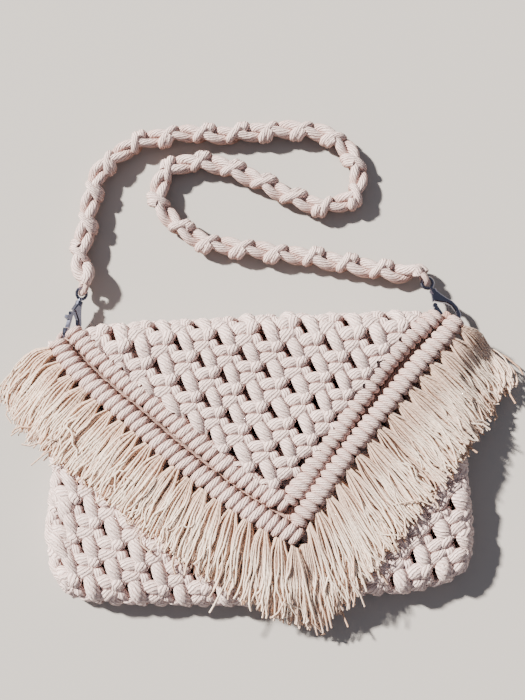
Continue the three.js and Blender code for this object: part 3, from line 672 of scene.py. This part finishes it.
def panel_tree():
    tree, start, end = new_tree("panel of knots", [
        ("Knot", "NodeSocketObject", None), ("Fullness", "NodeSocketFloat", 1.0),
        ("Sides", "NodeSocketInt", 7), ("Material", "NodeSocketMaterial", None),
    ])
    knot = node(tree, "GeometryNodeObjectInfo", {"Object": start.outputs["Knot"]})
    spots = node(tree, "GeometryNodeMeshToPoints", {"Mesh": start.outputs["Geometry"]})
    copies = node(tree, "GeometryNodeInstanceOnPoints", {
        "Points": spots.outputs[0], "Instance": knot.outputs["Geometry"],
    })
    real = node(tree, "GeometryNodeRealizeInstances", {0: copies.outputs[0]})
    curve = node(tree, "GeometryNodeMeshToCurve", {"Mesh": real.outputs[0]})
    full = keep_value(tree, curve.outputs[0], "thick", maths(
        tree, "MULTIPLY", read_value(tree, "thick"), start.outputs["Fullness"],
    ))
    swept = sweep(tree, full, start.outputs["Sides"], start.outputs["Material"])
    tree.links.new(swept, end.inputs[0])
    return tree


PANEL_OF_KNOTS = panel_tree()


def flat_panel(name, spots, look, sides=7, fullness=1.0):
    mesh = bpy.data.meshes.new(name)
    mesh.from_pydata([(x * MM, y * MM, 0) for x, y in spots], [], [])
    source = bpy.data.objects.new(name + "_spots", mesh)
    bpy.context.scene.collection.objects.link(source)
    return grow(
        source, PANEL_OF_KNOTS, name,
        Knot=ONE_KNOT, Fullness=fullness, Sides=sides, Material=look,
    )


def unevenness(u, v, w, size):
    """Slow waves that keep a panel from being perfectly regular, as hand work is."""
    du = size * (np.sin(u / 11.3 + 1.7 * np.sin(v / 19.0)) + 0.6 * np.sin(v / 7.9 + u / 23.0))
    dv = size * (np.sin(v / 9.7 + u / 17.0) + 0.6 * np.sin(u / 8.3 - v / 29.0))
    dw = 1 + 0.12 * np.sin(u / 14.9 + 2.0) * np.sin(v / 12.1 + 0.7)
    return u + du, v + dv, w * dw


print("tree:", PANEL_OF_KNOTS.name)

# %% [markdown]
# ## Where the pouch's wall runs
# The pouch is a flat cushion with a rounded edge. Its wall has a middle surface half a wall in
# from the outside. A place on it is found from how far across and how far up from the bottom
# fold it lies, measured over the rounded edge as a tape would be. A negative way up is the back.

# %% Surface of the pouch
HALF_WIDTH = 133.0
BOTTOM_REACH = 89.0
WALL = 9.0
INNER_SPACE = 8.0
SIDE_SPACE = 1.5
EDGE_ROUND = 9.0
GAP = 0.3
PRESS = 0.74
SIDE_EDGE = np.array([
    (0.0, 0.93, 0.965), (0.06, 0.975, 0.985), (0.16, 1.0, 0.992), (0.27, 1.004, 0.992),
    (0.37, 0.982, 0.995), (0.5, 0.978, 1.0), (0.75, 0.99, 1.0), (1.0, 1.0, 0.995),
])
BOTTOM_EDGE = np.array([
    (0.0, 0.19), (0.08, 0.087), (0.18, 0.045), (0.32, 0.009), (0.5, 0.0), (0.72, 0.03),
    (0.82, 0.03), (0.9, 0.06), (1.0, 0.17),
])


def bottom_edge(x):
    share = (x + HALF_WIDTH) / (2 * HALF_WIDTH)
    return -BOTTOM_REACH * (1 - np.interp(share, BOTTOM_EDGE[:, 0], BOTTOM_EDGE[:, 1]))


def front_height(x, y):
    side = 1 - np.minimum(1, np.abs(x) / (HALF_WIDTH - EDGE_ROUND)) ** 3
    fold = np.clip((y + BOTTOM_REACH - WALL) / (5 * WALL), 0, 1)
    return 2 * WALL + SIDE_SPACE + (INNER_SPACE - SIDE_SPACE) * side * (1 - (1 - fold) ** 2)


ROUND = {"inset": 5.5, "rise": 8.5}
angle = np.linspace(0, math.pi / 2, 60)
round_inset = ROUND["inset"] * (1 - np.cos(angle))
round_rise = ROUND["rise"] * np.sin(angle)
steps = np.hypot(np.diff(round_inset), np.diff(round_rise))
round_way = np.concatenate([[0], np.cumsum(steps)])
ROUND_WAY = round_way[-1]


def over_edge(way):
    """Inset and share of the full height for a way measured in from the edge's outermost line."""
    ahead = np.abs(way)
    inset = np.interp(ahead, round_way, round_inset) + np.maximum(ahead - ROUND_WAY, 0)
    return inset, np.sign(way) * np.interp(ahead, round_way, round_rise) / ROUND["rise"]


def side_edges(x, y):
    low = bottom_edge(x) + WALL / 2
    up = np.clip((y - low) / (MOUTH - low), 0, 1)
    left = HALF_WIDTH * np.interp(up, SIDE_EDGE[:, 0], SIDE_EDGE[:, 1]) - WALL / 2
    right = HALF_WIDTH * np.interp(up, SIDE_EDGE[:, 0], SIDE_EDGE[:, 2]) - WALL / 2
    return left, right


OVER = ROUND_WAY - ROUND["inset"]


def pouch_middle(s, t):
    """Middle of the wall for a way across s and a way up t; also the ways in from each side."""
    inset, rise = over_edge(np.abs(t))
    y = bottom_edge(s) + WALL / 2 + inset
    left, right = side_edges(s, y)
    from_left = s + left + OVER
    from_right = right + OVER - s
    inset_left, rise_left = over_edge(from_left)
    inset_right, rise_right = over_edge(from_right)
    x = np.where(from_left < ROUND_WAY, inset_left - left, s)
    x = np.where(from_right < ROUND_WAY, right - inset_right, x)
    y = bottom_edge(x) + WALL / 2 + inset
    half = front_height(x, y) / 2
    share = np.minimum(rise_left, 1) * np.minimum(rise_right, 1) * rise
    front = np.where(t < 0, -1.0, 1.0)
    z = half + front * (half - WALL / 2) * share
    return np.stack([x, y, z], axis=1), from_left, from_right


def pouch_surface(s, t, out):
    """Place in space of a panel's point that stands out from the wall's middle."""
    step = 0.4
    middle, _, _ = pouch_middle(s, t)
    across = pouch_middle(s + step, t)[0] - pouch_middle(s - step, t)[0]
    upward = pouch_middle(s, t + step)[0] - pouch_middle(s, t - step)[0]
    normal = np.cross(across, upward)
    normal /= np.maximum(np.linalg.norm(normal, axis=1), 1e-9)[:, None]
    return middle + normal * out[:, None]


print("way over the rounded edge, mm:", round(float(ROUND_WAY), 2))

# %% [markdown]
# ## Where the flap's edges run
# Two wound ridges run along each edge of the flap. Their middle lines are needed early, because
# the knots under the flap get painted shade and the flap's own knots end at the inner ridges.

# %% Middle lines of the ridges
TOP_REACH = 90.0
RIDGE_WIDTH = 12.8
RIDGE_HEIGHT = 10.0
RIB_PITCH = 5.4
RIDGES = {
    "inner_ridge_left": [
        (-0.873, 0.968), (-0.815, 0.88), (-0.677, 0.667), (-0.538, 0.473), (-0.386, 0.273),
        (-0.264, 0.106), (-0.116, -0.09), (0.037, -0.256), (0.122, -0.338),
    ],
    "outer_ridge_left": [
        (-0.943, 0.898), (-0.868, 0.72), (-0.737, 0.513), (-0.584, 0.313), (-0.43, 0.096),
        (-0.28, -0.095), (-0.131, -0.276), (0.022, -0.432), (0.155, -0.548),
    ],
    "inner_ridge_right": [
        (0.913, 0.962), (0.751, 0.781), (0.613, 0.577), (0.494, 0.352), (0.376, 0.13),
        (0.256, -0.094), (0.196, -0.212), (0.145, -0.3),
    ],
    "outer_ridge_right": [
        (1.005, 0.925), (0.885, 0.74), (0.76, 0.555), (0.625, 0.33), (0.487, 0.104),
        (0.371, -0.095), (0.27, -0.285), (0.215, -0.385), (0.168, -0.465),
    ],
}


def ridge_line(name, further=()):
    """Evenly spaced middle line of a ridge, about a millimetre a step."""
    plan = np.array(list(RIDGES[name]) + list(further)) * (HALF_WIDTH, TOP_REACH)
    x, y = plan[:, 0], plan[:, 1]
    over = np.clip((y - MOUTH) / (TOP_REACH - MOUTH), 0, 1)
    z = front_height(x, np.minimum(y, MOUTH)) + GAP + RIDGE_HEIGHT / 2 - 1.5 * over
    fine, _ = smooth(np.stack([x, y, z], axis=1), np.zeros((len(x), 1)), 12)
    _, length = resample(fine, 10)
    return resample(fine, int(length))


def beyond_ridges(x, y):
    """How far outside the inner ridges' middle lines a place lies; negative is on the flap."""
    outside = np.full(len(x), -1e3)
    for name, sign in (("inner_ridge_left", -1), ("inner_ridge_right", 1)):
        line = ridge_line(name)[0][::6, :2]
        heading = np.gradient(line, axis=0)
        heading /= np.linalg.norm(heading, axis=1)[:, None]
        line = np.vstack([line, line[-1] + 60 * heading[-1]])
        heading = np.vstack([heading, heading[-1]])
        for part in range(0, len(x), 20000):
            chosen = slice(part, part + 20000)
            gap = np.stack([x[chosen], y[chosen]], axis=1)[:, None, :] - line[None]
            nearest = np.argmin(np.sum(gap ** 2, axis=2), axis=1)
            way, off = heading[nearest], gap[np.arange(len(nearest)), nearest]
            aside = sign * (way[:, 0] * off[:, 1] - way[:, 1] * off[:, 0])
            beside = np.where(y[chosen] < TOP_REACH - 4, aside, -1e3)
            outside[chosen] = np.maximum(outside[chosen], beside)
    return outside


# %% Knots of the pouch
FIRST_ACROSS = -95.0
FIRST_UP = 19.0 - WALL / 2 + OVER
EDGE_CLEAR = -4.0


def pouch_spots():
    """Ways across and up of each knot, row by row, from the back's top to the front's."""
    found = []
    for row in range(-18, 16):
        t = FIRST_UP + row * ROW_PITCH
        first = FIRST_ACROSS + (KNOT_PITCH / 2 if row % 2 == 0 else 0)
        for k in range(-3, 12):
            s = first + k * KNOT_PITCH
            middle, from_left, from_right = pouch_middle(np.array([s]), np.array([t]))
            if min(from_left[0], from_right[0]) < EDGE_CLEAR or middle[0, 1] > MOUTH - 4:
                continue
            found.append((s, t))
    return found


def crop(thing, drop):
    """Deletes the vertices that a mask names."""
    work = bmesh.new()
    work.from_mesh(thing.data)
    work.verts.ensure_lookup_table()
    doomed = [work.verts[i] for i in np.nonzero(drop)[0]]
    bmesh.ops.delete(work, geom=doomed, context="VERTS")
    work.to_mesh(thing.data)
    work.free()


def lay_on_pouch(thing):
    flat = places(thing)
    s, t, w = unevenness(flat[:, 0], flat[:, 1], flat[:, 2], 0.7)
    out = PRESS * w
    points = pouch_surface(s, t, out)
    points[:, 2] = np.maximum(points[:, 2], 0.1)
    # Painted shade: points lower in the fabric get a lower depth value, and knots well inside the flap's
    # inner ridges get up to 30 % less, so the colour darkens there.
    flap_shade = np.clip(-beyond_ridges(points[:, 0], points[:, 1]) / 4 - 1, 0, 1)
    put(thing, points, (out + 3.2) / 7.5 * (1 - 0.3 * flap_shade))


spots = pouch_spots()
for name, chosen in (
    ("pouch_knots_front", [p for p in spots if p[1] >= 0]),
    ("pouch_knots_back", [p for p in spots if p[1] < 0]),
):
    panel = flat_panel(name, chosen, KNOT_COTTON, fullness=1.17)
    lay_on_pouch(panel)
    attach(panel, "bag")
    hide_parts("pouch")
    print(name, "knots:", len(chosen), "triangles:", triangles(panel))

# %% [markdown]
# ## Laced sides
# At each side the rows turn back, and the front and back are laced together there. It shows as a
# row of smooth lobes up the edge, one for every second row. Two cords that swing from front to
# back along the edge's outermost line give them.

# %% Side cords


def side_cords():
    lines, thick = [], []
    for sign in (-1, 1):
        for phase in (0.0, math.pi):
            t = np.linspace(3.0, 157.0, 110)
            swing = np.sin(math.pi * t / ROW_PITCH + phase + 0.6 * sign)
            y = bottom_edge(np.full_like(t, sign * 120.0)) + WALL / 2 + over_edge(t)[0]
            left, right = side_edges(np.full_like(t, sign * 120.0), y)
            edge = left if sign < 0 else right
            s = sign * (edge + OVER - 0.5 - 5.0 * swing)
            lines.append(np.stack([s, t, 3.0 + 1.6 * np.abs(swing)], axis=1))
            thick.append((3.2 + 0.6 * np.abs(swing)) * MM)
    return lines, thick


lines, thick = side_cords()
source = line_mesh("side_lines", lines, {"thick": thick})
sides_piece = grow(source, SWEPT_CORDS, "side_lacing", Sides=9, Material=KNOT_COTTON)
lay_on_pouch(sides_piece)
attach(sides_piece, "bag")
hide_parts("pouch")
print("side lacing triangles:", triangles(sides_piece))

# %% [markdown]
# ## Wound ridges
# Along each edge of the flap two rows of double half hitches are wound round a cord. Each hitch
# shows as a plump rib across the row. The script walks along the ridge's middle line in steps of
# one rib and sets a ring there across the line, turned a little at random; the cord tree sweeps
# the rings.

# %% Ribs


def ridge_lines(name):
    """Rings of the wound cord along a ridge, and the cord that they are wound on."""
    line, _ = ridge_line(name)
    line = np.vstack([line, line[-1] + 3.5 * (line[-1] - line[-4]) / 3])
    line, length = resample(line, len(line) + 3)
    heading, side, up = frames(line)
    left = name.endswith("left")
    ribs = int(round((length - 2) / RIB_PITCH))
    draw = np.random.default_rng(len(name) + 7 * left)
    lines, thick = [], []
    turn = np.linspace(-0.28, 0.78, 19) * 2 * math.pi
    for k in range(ribs):
        share = (1 + RIB_PITCH * (k + 0.5 + draw.uniform(-0.07, 0.07))) / length
        end = 0.86 if k in (0, ribs - 1) else 1.0
        size = end * (1 + draw.uniform(-0.05, 0.05))
        radius = 2.85 * (1 + draw.uniform(-0.07, 0.08)) * end
        wide = (RIDGE_WIDTH / 2 - 2.1) * size
        tall = (RIDGE_HEIGHT / 2 - 2.4) * size
        slant = (1.4 if left else -0.5) + draw.uniform(-0.6, 0.6)
        at = np.full(len(turn), share) + slant * np.cos(turn) / length
        ring = (
            at_length(line, at) + at_length(side, at) * (wide * np.cos(turn))[:, None]
            + at_length(up, at) * (tall * np.sin(turn))[:, None]
        )
        lines.append(ring)
        swell = 0.93 + 0.13 * np.clip(np.sin(turn), 0, 1)
        thick.append(radius * swell * MM)
    core = at_length(line, np.linspace(0.01, 0.99, 40))
    lines.append(core)
    thick.append(np.full(40, 3.2 * MM))
    if name.startswith("outer"):
        inward = 6.6 if left else -6.6
        lines.append(core + at_length(side, np.linspace(0.01, 0.99, 40)) * inward - (0, 0, 3.8))
        thick.append(np.full(40, 2.8 * MM))
    return lines, thick


for name in RIDGES:
    lines, thick = ridge_lines(name)
    source = line_mesh(name + "_lines", lines, {"thick": thick})
    ridge = grow(source, SWEPT_CORDS, name.replace("ridge", "wound_ridge"), Sides=9,
                 Material=RIDGE_COTTON)
    points = places(ridge)
    spine = ridge_line(name)[0]
    nearest = np.array([
        spine[np.argmin(np.sum((spine[:, :2] - p) ** 2, axis=1)), 2] for p in points[:, :2]
    ])
    # Painted shade: points below the ridge's middle line get a lower depth value and so a darker colour.
    put(ridge, points, 0.45 + (points[:, 2] - nearest) / 12)
    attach(ridge, "bag")
    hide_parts(name)
    print(ridge.name, "triangles:", triangles(ridge))

# %% [markdown]
# ## The flap
# The flap is the same knotted panel, turned about five degrees because it was folded over a
# little askew. Its flat coordinates follow the top fold: past the mouth's line they run round a
# half circle to the back. Knots that would lie under a ridge are cut off there.

# %% Knots of the flap
FLAP_TURN = math.radians(5.2)
FLAP_FIRST_GAP = (-73.3, 68.5)
FOLD_LINE = MOUTH + GAP


def flap_plan(u, v):
    cos, sin = math.cos(FLAP_TURN), math.sin(FLAP_TURN)
    return FLAP_FIRST_GAP[0] + u * cos - v * sin, FLAP_FIRST_GAP[1] + u * sin + v * cos


def flap_surface(x, y, out):
    """Place in space for a place in plan that runs on round the top fold."""
    base = front_height(x, np.minimum(y, MOUTH)) + GAP
    total = base + WALL
    bend = total / 2 - WALL / 2
    turn = np.clip((y - FOLD_LINE) / bend, 0, math.pi)
    behind = np.maximum(y - FOLD_LINE - math.pi * bend, 0)
    radius = bend + out
    round_y = FOLD_LINE + radius * np.sin(turn) - behind
    round_z = total / 2 + radius * np.cos(turn)
    flat = y <= FOLD_LINE
    return np.stack([x, np.where(flat, y, round_y),
                     np.where(flat, base + WALL / 2 + out, round_z)], axis=1)


def flap_spots():
    found = []
    for row in range(-10, 5):
        for column in range(-5, 17):
            if (row + column) % 2 == 0:
                continue
            u, v = column * KNOT_PITCH / 2, row * ROW_PITCH
            x, y = flap_plan(u, v)
            if not -104 < x < 108 or y > FOLD_LINE + 40:
                continue
            if beyond_ridges(np.array([x]), np.array([min(y, 80.0)]))[0] > 3:
                continue
            found.append((u, v))
    return found


def lay_on_flap(thing):
    flat = places(thing)
    u, v, w = unevenness(flat[:, 0], flat[:, 1], flat[:, 2], 0.7)
    x, y = flap_plan(u, v)
    out = PRESS * w + 0.3
    points = flap_surface(x, y, out)
    points[:, 2] = np.maximum(points[:, 2], 0.1)
    # Painted shade: points lower in the fabric get a lower depth value and so a darker colour.
    put(thing, points, (out + 3.2) / 7.5)
    crop(thing, beyond_ridges(x, y) > -1.5)


spots = flap_spots()
flap = flat_panel("flap_knots", spots, KNOT_COTTON, 8, 1.07)
lay_on_flap(flap)
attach(flap, "bag")
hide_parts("flap")
print("flap knots:", len(spots), "triangles:", triangles(flap))

# %% [markdown]
# ## The fringe
# Below each outer ridge the ends of its cords are unravelled into soft yarns. A cord leaves the
# ridge narrow and fans out until it meets its neighbours, so small dark triangles show between
# the cords at the ridge. The guide lines here follow each cord's edge and carry the way across
# to its other edge. The tree copies every guide once for each yarn, spreads the copies over that
# width and depth at random, waves them, trims them unevenly and sweeps them.

# %% Guides of the fringe
FRINGE_LENGTH = 50.0
FRINGE_THICKNESS = 6.0
FRINGE_TIP = 3.5
CORD_PITCH = 10.8
KNOT_RISE = 2.2
FRINGE_LEFT = np.array([
    (0.0, 78, 12, 1.0), (0.12, 56, 26, 0.92), (0.3, 50, 36, 0.86), (0.5, 46, 34, 0.84),
    (0.65, 32, 22, 0.86), (0.8, 18, 12, 0.88), (0.92, 6, 2, 0.96), (1.0, -7, -10, 0.98),
])
FRINGE_RIGHT = np.array([
    (0.0, 56, 16, 1.0), (0.12, 52, 28, 0.98), (0.3, 50, 42, 1.04), (0.5, 44, 38, 1.04),
    (0.7, 36, 30, 1.06), (0.85, 26, 20, 1.1), (1.0, 10, 6, 1.2),
])
FRINGE_END = {"outer_ridge_left": (0.212, -0.602), "outer_ridge_right": (0.16, -0.5)}


def rest_height(x, y):
    """Height that the fringe lies on: the pouch, and past its edges a fall to the surface."""
    out = np.maximum(np.maximum(
        np.abs(x) - HALF_WIDTH + EDGE_ROUND / 2, bottom_edge(x) + EDGE_ROUND / 2 - y,
    ), 0)
    inside = front_height(np.clip(x, -HALF_WIDTH, HALF_WIDTH), np.minimum(y, MOUTH))
    return np.maximum(inside - 0.55 * out, WALL / 2)


def fringe_path(table, line, sign, at, along):
    """Middle of the fringe at a share along its ridge, for shares along its length."""
    place = at_length(line, np.array([at]))[0]
    heading = at_length(frames(line)[0], np.array([at]))[0] * (1, 1, 0)
    heading /= np.linalg.norm(heading)
    out = sign * np.array([-heading[1], heading[0], 0])
    root, tip, length = (np.interp(at, table[:, 0], table[:, k]) for k in (1, 2, 3))
    fine = np.linspace(0, 1, 61)
    turn = np.radians(root + (tip - root) * fine)
    step = FRINGE_LENGTH * length / 60
    x = np.concatenate([[0], np.cumsum(sign * np.sin(turn[:-1]) * step)])
    y = np.concatenate([[0], np.cumsum(-np.cos(turn[:-1]) * step)])
    start = place + out * (RIDGE_WIDTH / 2 - 0.5)
    points = np.stack([
        start[0] + np.interp(along, fine, x), start[1] + np.interp(along, fine, y), 0 * along,
    ], axis=1)
    thick = FRINGE_THICKNESS + (FRINGE_TIP - FRINGE_THICKNESS) * along
    lying = rest_height(points[:, 0], points[:, 1]) + GAP + thick / 2 + KNOT_RISE * along
    points[:, 2] = place[2] + (lying - place[2]) * np.minimum(1, 2.5 * along)
    return points, thick


def fringe_guides(name, table, sign):
    line, length = ridge_line(name, [FRINGE_END[name]])
    cords = int(round(length / CORD_PITCH))
    along = np.linspace(0, 1, 13)
    spread = np.interp(along, [0, 0.06, 0.2, 1], [0.5, 0.65, 1.15, 1.4])
    lines, across, lift, thick, loose = [], [], [], [], []
    for k in range(cords):
        a, depth = fringe_path(table, line, sign, k / cords, along)
        b, _ = fringe_path(table, line, sign, (k + 1) / cords, along)
        lines.append((a + b) / 2)
        across.append((b - a) * spread[:, None] * MM)
        lift.append(depth * np.interp(along, [0, 0.2, 1], [0.7, 1, 1]) * MM)
        thick.append(np.full(len(along), 1.0))
        loose.append(np.sqrt(along) * along * MM)
    if sign < 0:
        middle, depth = fringe_path(table, line, sign, 1.0, along)
        lines.append(middle + (1.5, 4.5, -0.8))
        across.append(np.outer(7 + 5 * along, (1, 0, 0)) * MM)
        lift.append(depth * 0.8 * MM)
        thick.append(np.full(len(along), 1.0))
        loose.append(np.sqrt(along) * along * MM)
    return lines, {"across": across, "lift": lift, "loose": loose, "thick": thick}


# %% Fringe tree


def random_value(tree, low, high, seed, index):
    made = node(tree, "FunctionNodeRandomValue", data_type="FLOAT")
    made.inputs[2].default_value = low
    made.inputs[3].default_value = high
    tree.links.new(index, made.inputs["ID"])
    made.inputs["Seed"].default_value = seed
    return made.outputs[1]


def vector_maths(tree, operation, a, b=None, scale=None):
    made = tree.nodes.new("ShaderNodeVectorMath")
    made.operation = operation
    for slot, value in ((0, a), (1, b)):
        if isinstance(value, bpy.types.NodeSocket):
            tree.links.new(value, made.inputs[slot])
        elif value is not None:
            made.inputs[slot].default_value = value
    if scale is not None:
        if isinstance(scale, bpy.types.NodeSocket):
            tree.links.new(scale, made.inputs["Scale"])
        else:
            made.inputs["Scale"].default_value = scale
    return made.outputs[0]


def fringe_tree():
    tree, start, end = new_tree("unravelled cords", [
        ("Yarns", "NodeSocketInt", 28), ("Yarn radius", "NodeSocketFloat", 0.55 * MM),
        ("Wave", "NodeSocketFloat", 4.0), ("Wave scale", "NodeSocketFloat", 45.0),
        ("Sides", "NodeSocketInt", 4), ("Material", "NodeSocketMaterial", None),
    ])
    guides = node(tree, "GeometryNodeMeshToCurve", {"Mesh": start.outputs["Geometry"]})
    copies = node(tree, "GeometryNodeDuplicateElements", {
        "Geometry": guides.outputs[0], "Amount": start.outputs["Yarns"],
    }, domain="SPLINE")
    which = node(tree, "GeometryNodeCurveOfPoint").outputs["Curve Index"]
    place_across = random_value(tree, -0.5, 0.5, 1, which)
    place_up = random_value(tree, -0.5, 0.5, 2, which)
    gathered = maths(tree, "ADD", maths(tree, "SNAP", place_across, 0.25), 0.125)
    drawn_in = maths(tree, "MULTIPLY", read_value(tree, "loose"), 0.7 / MM)
    moved_in = maths(tree, "MULTIPLY", maths(tree, "SUBTRACT", gathered, place_across), drawn_in)
    sideways = vector_maths(
        tree, "SCALE", read_value(tree, "across", "FLOAT_VECTOR"),
        scale=maths(tree, "ADD", place_across, moved_in),
    )
    upward = node(tree, "ShaderNodeCombineXYZ", {
        "Z": maths(tree, "MULTIPLY", read_value(tree, "lift"), place_up),
    }).outputs[0]
    position = tree.nodes.new("GeometryNodeInputPosition").outputs[0]
    shift = random_value(tree, 0.0, 40.0, 3, which)
    noise = node(tree, "ShaderNodeTexNoise", {
        "Vector": position, "W": shift, "Scale": start.outputs["Wave scale"], "Detail": 1.0,
    }, noise_dimensions="4D")
    centred = vector_maths(tree, "SUBTRACT", noise.outputs[1], (0.5, 0.5, 0.5))
    chance = random_value(tree, 0.0, 1.0, 6, which)
    stray = maths(tree, "MULTIPLY", maths(tree, "POWER", chance, 14.0), 2.5)
    reach = maths(tree, "MULTIPLY", read_value(tree, "loose"), start.outputs["Wave"])
    waved = vector_maths(
        tree, "SCALE", vector_maths(tree, "MULTIPLY", centred, (6.0, 6.0, 2.2)),
        scale=maths(tree, "MULTIPLY", reach, maths(tree, "ADD", stray, 0.9)),
    )
    offset = vector_maths(tree, "ADD", vector_maths(tree, "ADD", sideways, upward), waved)
    moved = node(tree, "GeometryNodeSetPosition", {
        "Geometry": copies.outputs[0], "Offset": offset,
    })
    # Painted shade: yarns lower in the fringe and near the ridge get a lower depth value, so they take
    # the tan shade colour.
    open_out = maths(tree, "MINIMUM", maths(tree, "MULTIPLY", read_value(tree, "loose"), 3 / MM), 1.0)
    light = maths(tree, "ADD", maths(tree, "MULTIPLY", open_out, 0.5), 0.55)
    layer = maths(tree, "MULTIPLY", maths(tree, "ADD", place_up, 0.55), light)
    marked = keep_value(tree, moved.outputs[0], "depth", layer)
    trimmed = node(tree, "GeometryNodeTrimCurve", {"Curve": marked}, mode="FACTOR")
    spline = tree.nodes.new("GeometryNodeInputIndex").outputs[0]
    tree.links.new(random_value(tree, 0.93, 1.0, 4, spline), trimmed.inputs["End"])
    rounded = keep_value(tree, trimmed.outputs[0], "thick", maths(
        tree, "MULTIPLY", start.outputs["Yarn radius"], random_value(tree, 0.8, 1.25, 5, which),
    ))
    swept = sweep(tree, rounded, start.outputs["Sides"], start.outputs["Material"])
    tree.links.new(swept, end.inputs[0])
    return tree


UNRAVELLED = fringe_tree()
for piece, ridge_name, table, sign in (
    ("fringe_left", "outer_ridge_left", FRINGE_LEFT, -1),
    ("fringe_right", "outer_ridge_right", FRINGE_RIGHT, 1),
):
    lines, values = fringe_guides(ridge_name, table, sign)
    source = line_mesh(piece + "_guides", lines, values)
    fringe = grow(source, UNRAVELLED, piece + "_yarns", Yarns=62, Material=YARN_COTTON)
    points = places(fringe)
    points[:, 2] = np.maximum(points[:, 2], 0.6)
    put(fringe, points)
    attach(fringe, "bag")
    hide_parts(piece)
    print(fringe.name, "triangles:", triangles(fringe))

# %% [markdown]
# ## Chrome
# The snap hooks are small zinc castings with a bright plating. The solids already have their
# shape, so they only need a finish: almost mirror smooth, with faint handling marks, and a dark
# blue-grey base colour that paints in the dark reflections of their surroundings.

# %% Chrome finish


def chrome():
    look = bpy.data.materials.new("chrome")
    look.use_nodes = True
    tree = look.node_tree
    shader = tree.nodes["Principled BSDF"]
    noise = node(tree, "ShaderNodeTexNoise", {
        "Vector": node(tree, "ShaderNodeTexCoord").outputs["Object"],
        "Scale": 300.0, "Detail": 4.0,
    })
    rough = maths(tree, "MULTIPLY_ADD", noise.outputs[0], 0.22)
    rough.node.inputs[2].default_value = 0.06
    tree.links.new(rough, shader.inputs["Roughness"])
    # Painted reflection: the base colour is a dark blue-grey, darker than real plating, standing in for
    # the dark surroundings the hooks reflect.
    shader.inputs["Base Color"].default_value = (0.15, 0.16, 0.22, 1)
    shader.inputs["Metallic"].default_value = 1.0
    return look


CHROME = chrome()
for name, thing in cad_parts.items():
    if name.startswith("clasp_"):
        thing.data.materials.clear()
        thing.data.materials.append(CHROME)
print("chromed nodes:", sum(n.startswith("clasp_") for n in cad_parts))

# %% [markdown]
# ## Floor and light
# A plain pale floor and soft light from the upper left, low enough to throw each knot's shadow
# into the gap beside it.

# %% Floor and light
floor_mesh = bpy.data.meshes.new("floor")
reach = 3.0
floor_mesh.from_pydata(
    [(-reach, -reach, 0), (reach, -reach, 0), (reach, reach, 0), (-reach, reach, 0)], [],
    [(0, 1, 2, 3)],
)
floor = bpy.data.objects.new("floor", floor_mesh)
floor.location.z = -0.0002
bpy.context.scene.collection.objects.link(floor)
floor_look = bpy.data.materials.new("pale floor")
floor_look.use_nodes = True
floor_look.node_tree.nodes["Principled BSDF"].inputs["Base Color"].default_value = (
    0.42, 0.40, 0.38, 1,
)
floor_look.node_tree.nodes["Principled BSDF"].inputs["Roughness"].default_value = 0.9
floor_mesh.materials.append(floor_look)

SUN_ENERGY = 17.5
SUN_WAY = Vector((0.68, -0.40, -0.56))
sun_data = bpy.data.lights.new("key", "SUN")
sun_data.energy = SUN_ENERGY
sun_data.angle = math.radians(4)
sun_data.color = (1.0, 0.94, 0.86)
sun = bpy.data.objects.new("key", sun_data)
sun.rotation_euler = SUN_WAY.to_track_quat("-Z", "Y").to_euler()
bpy.context.scene.collection.objects.link(sun)

world = bpy.data.worlds.new("studio")
world.use_nodes = True
world.node_tree.nodes["Background"].inputs["Color"].default_value = (0.88, 0.88, 1.0, 1)
world.node_tree.nodes["Background"].inputs["Strength"].default_value = 0.3
bpy.context.scene.world = world
print("lights: key and world")

# %% The end
bpy.data.objects.remove(ONE_KNOT)
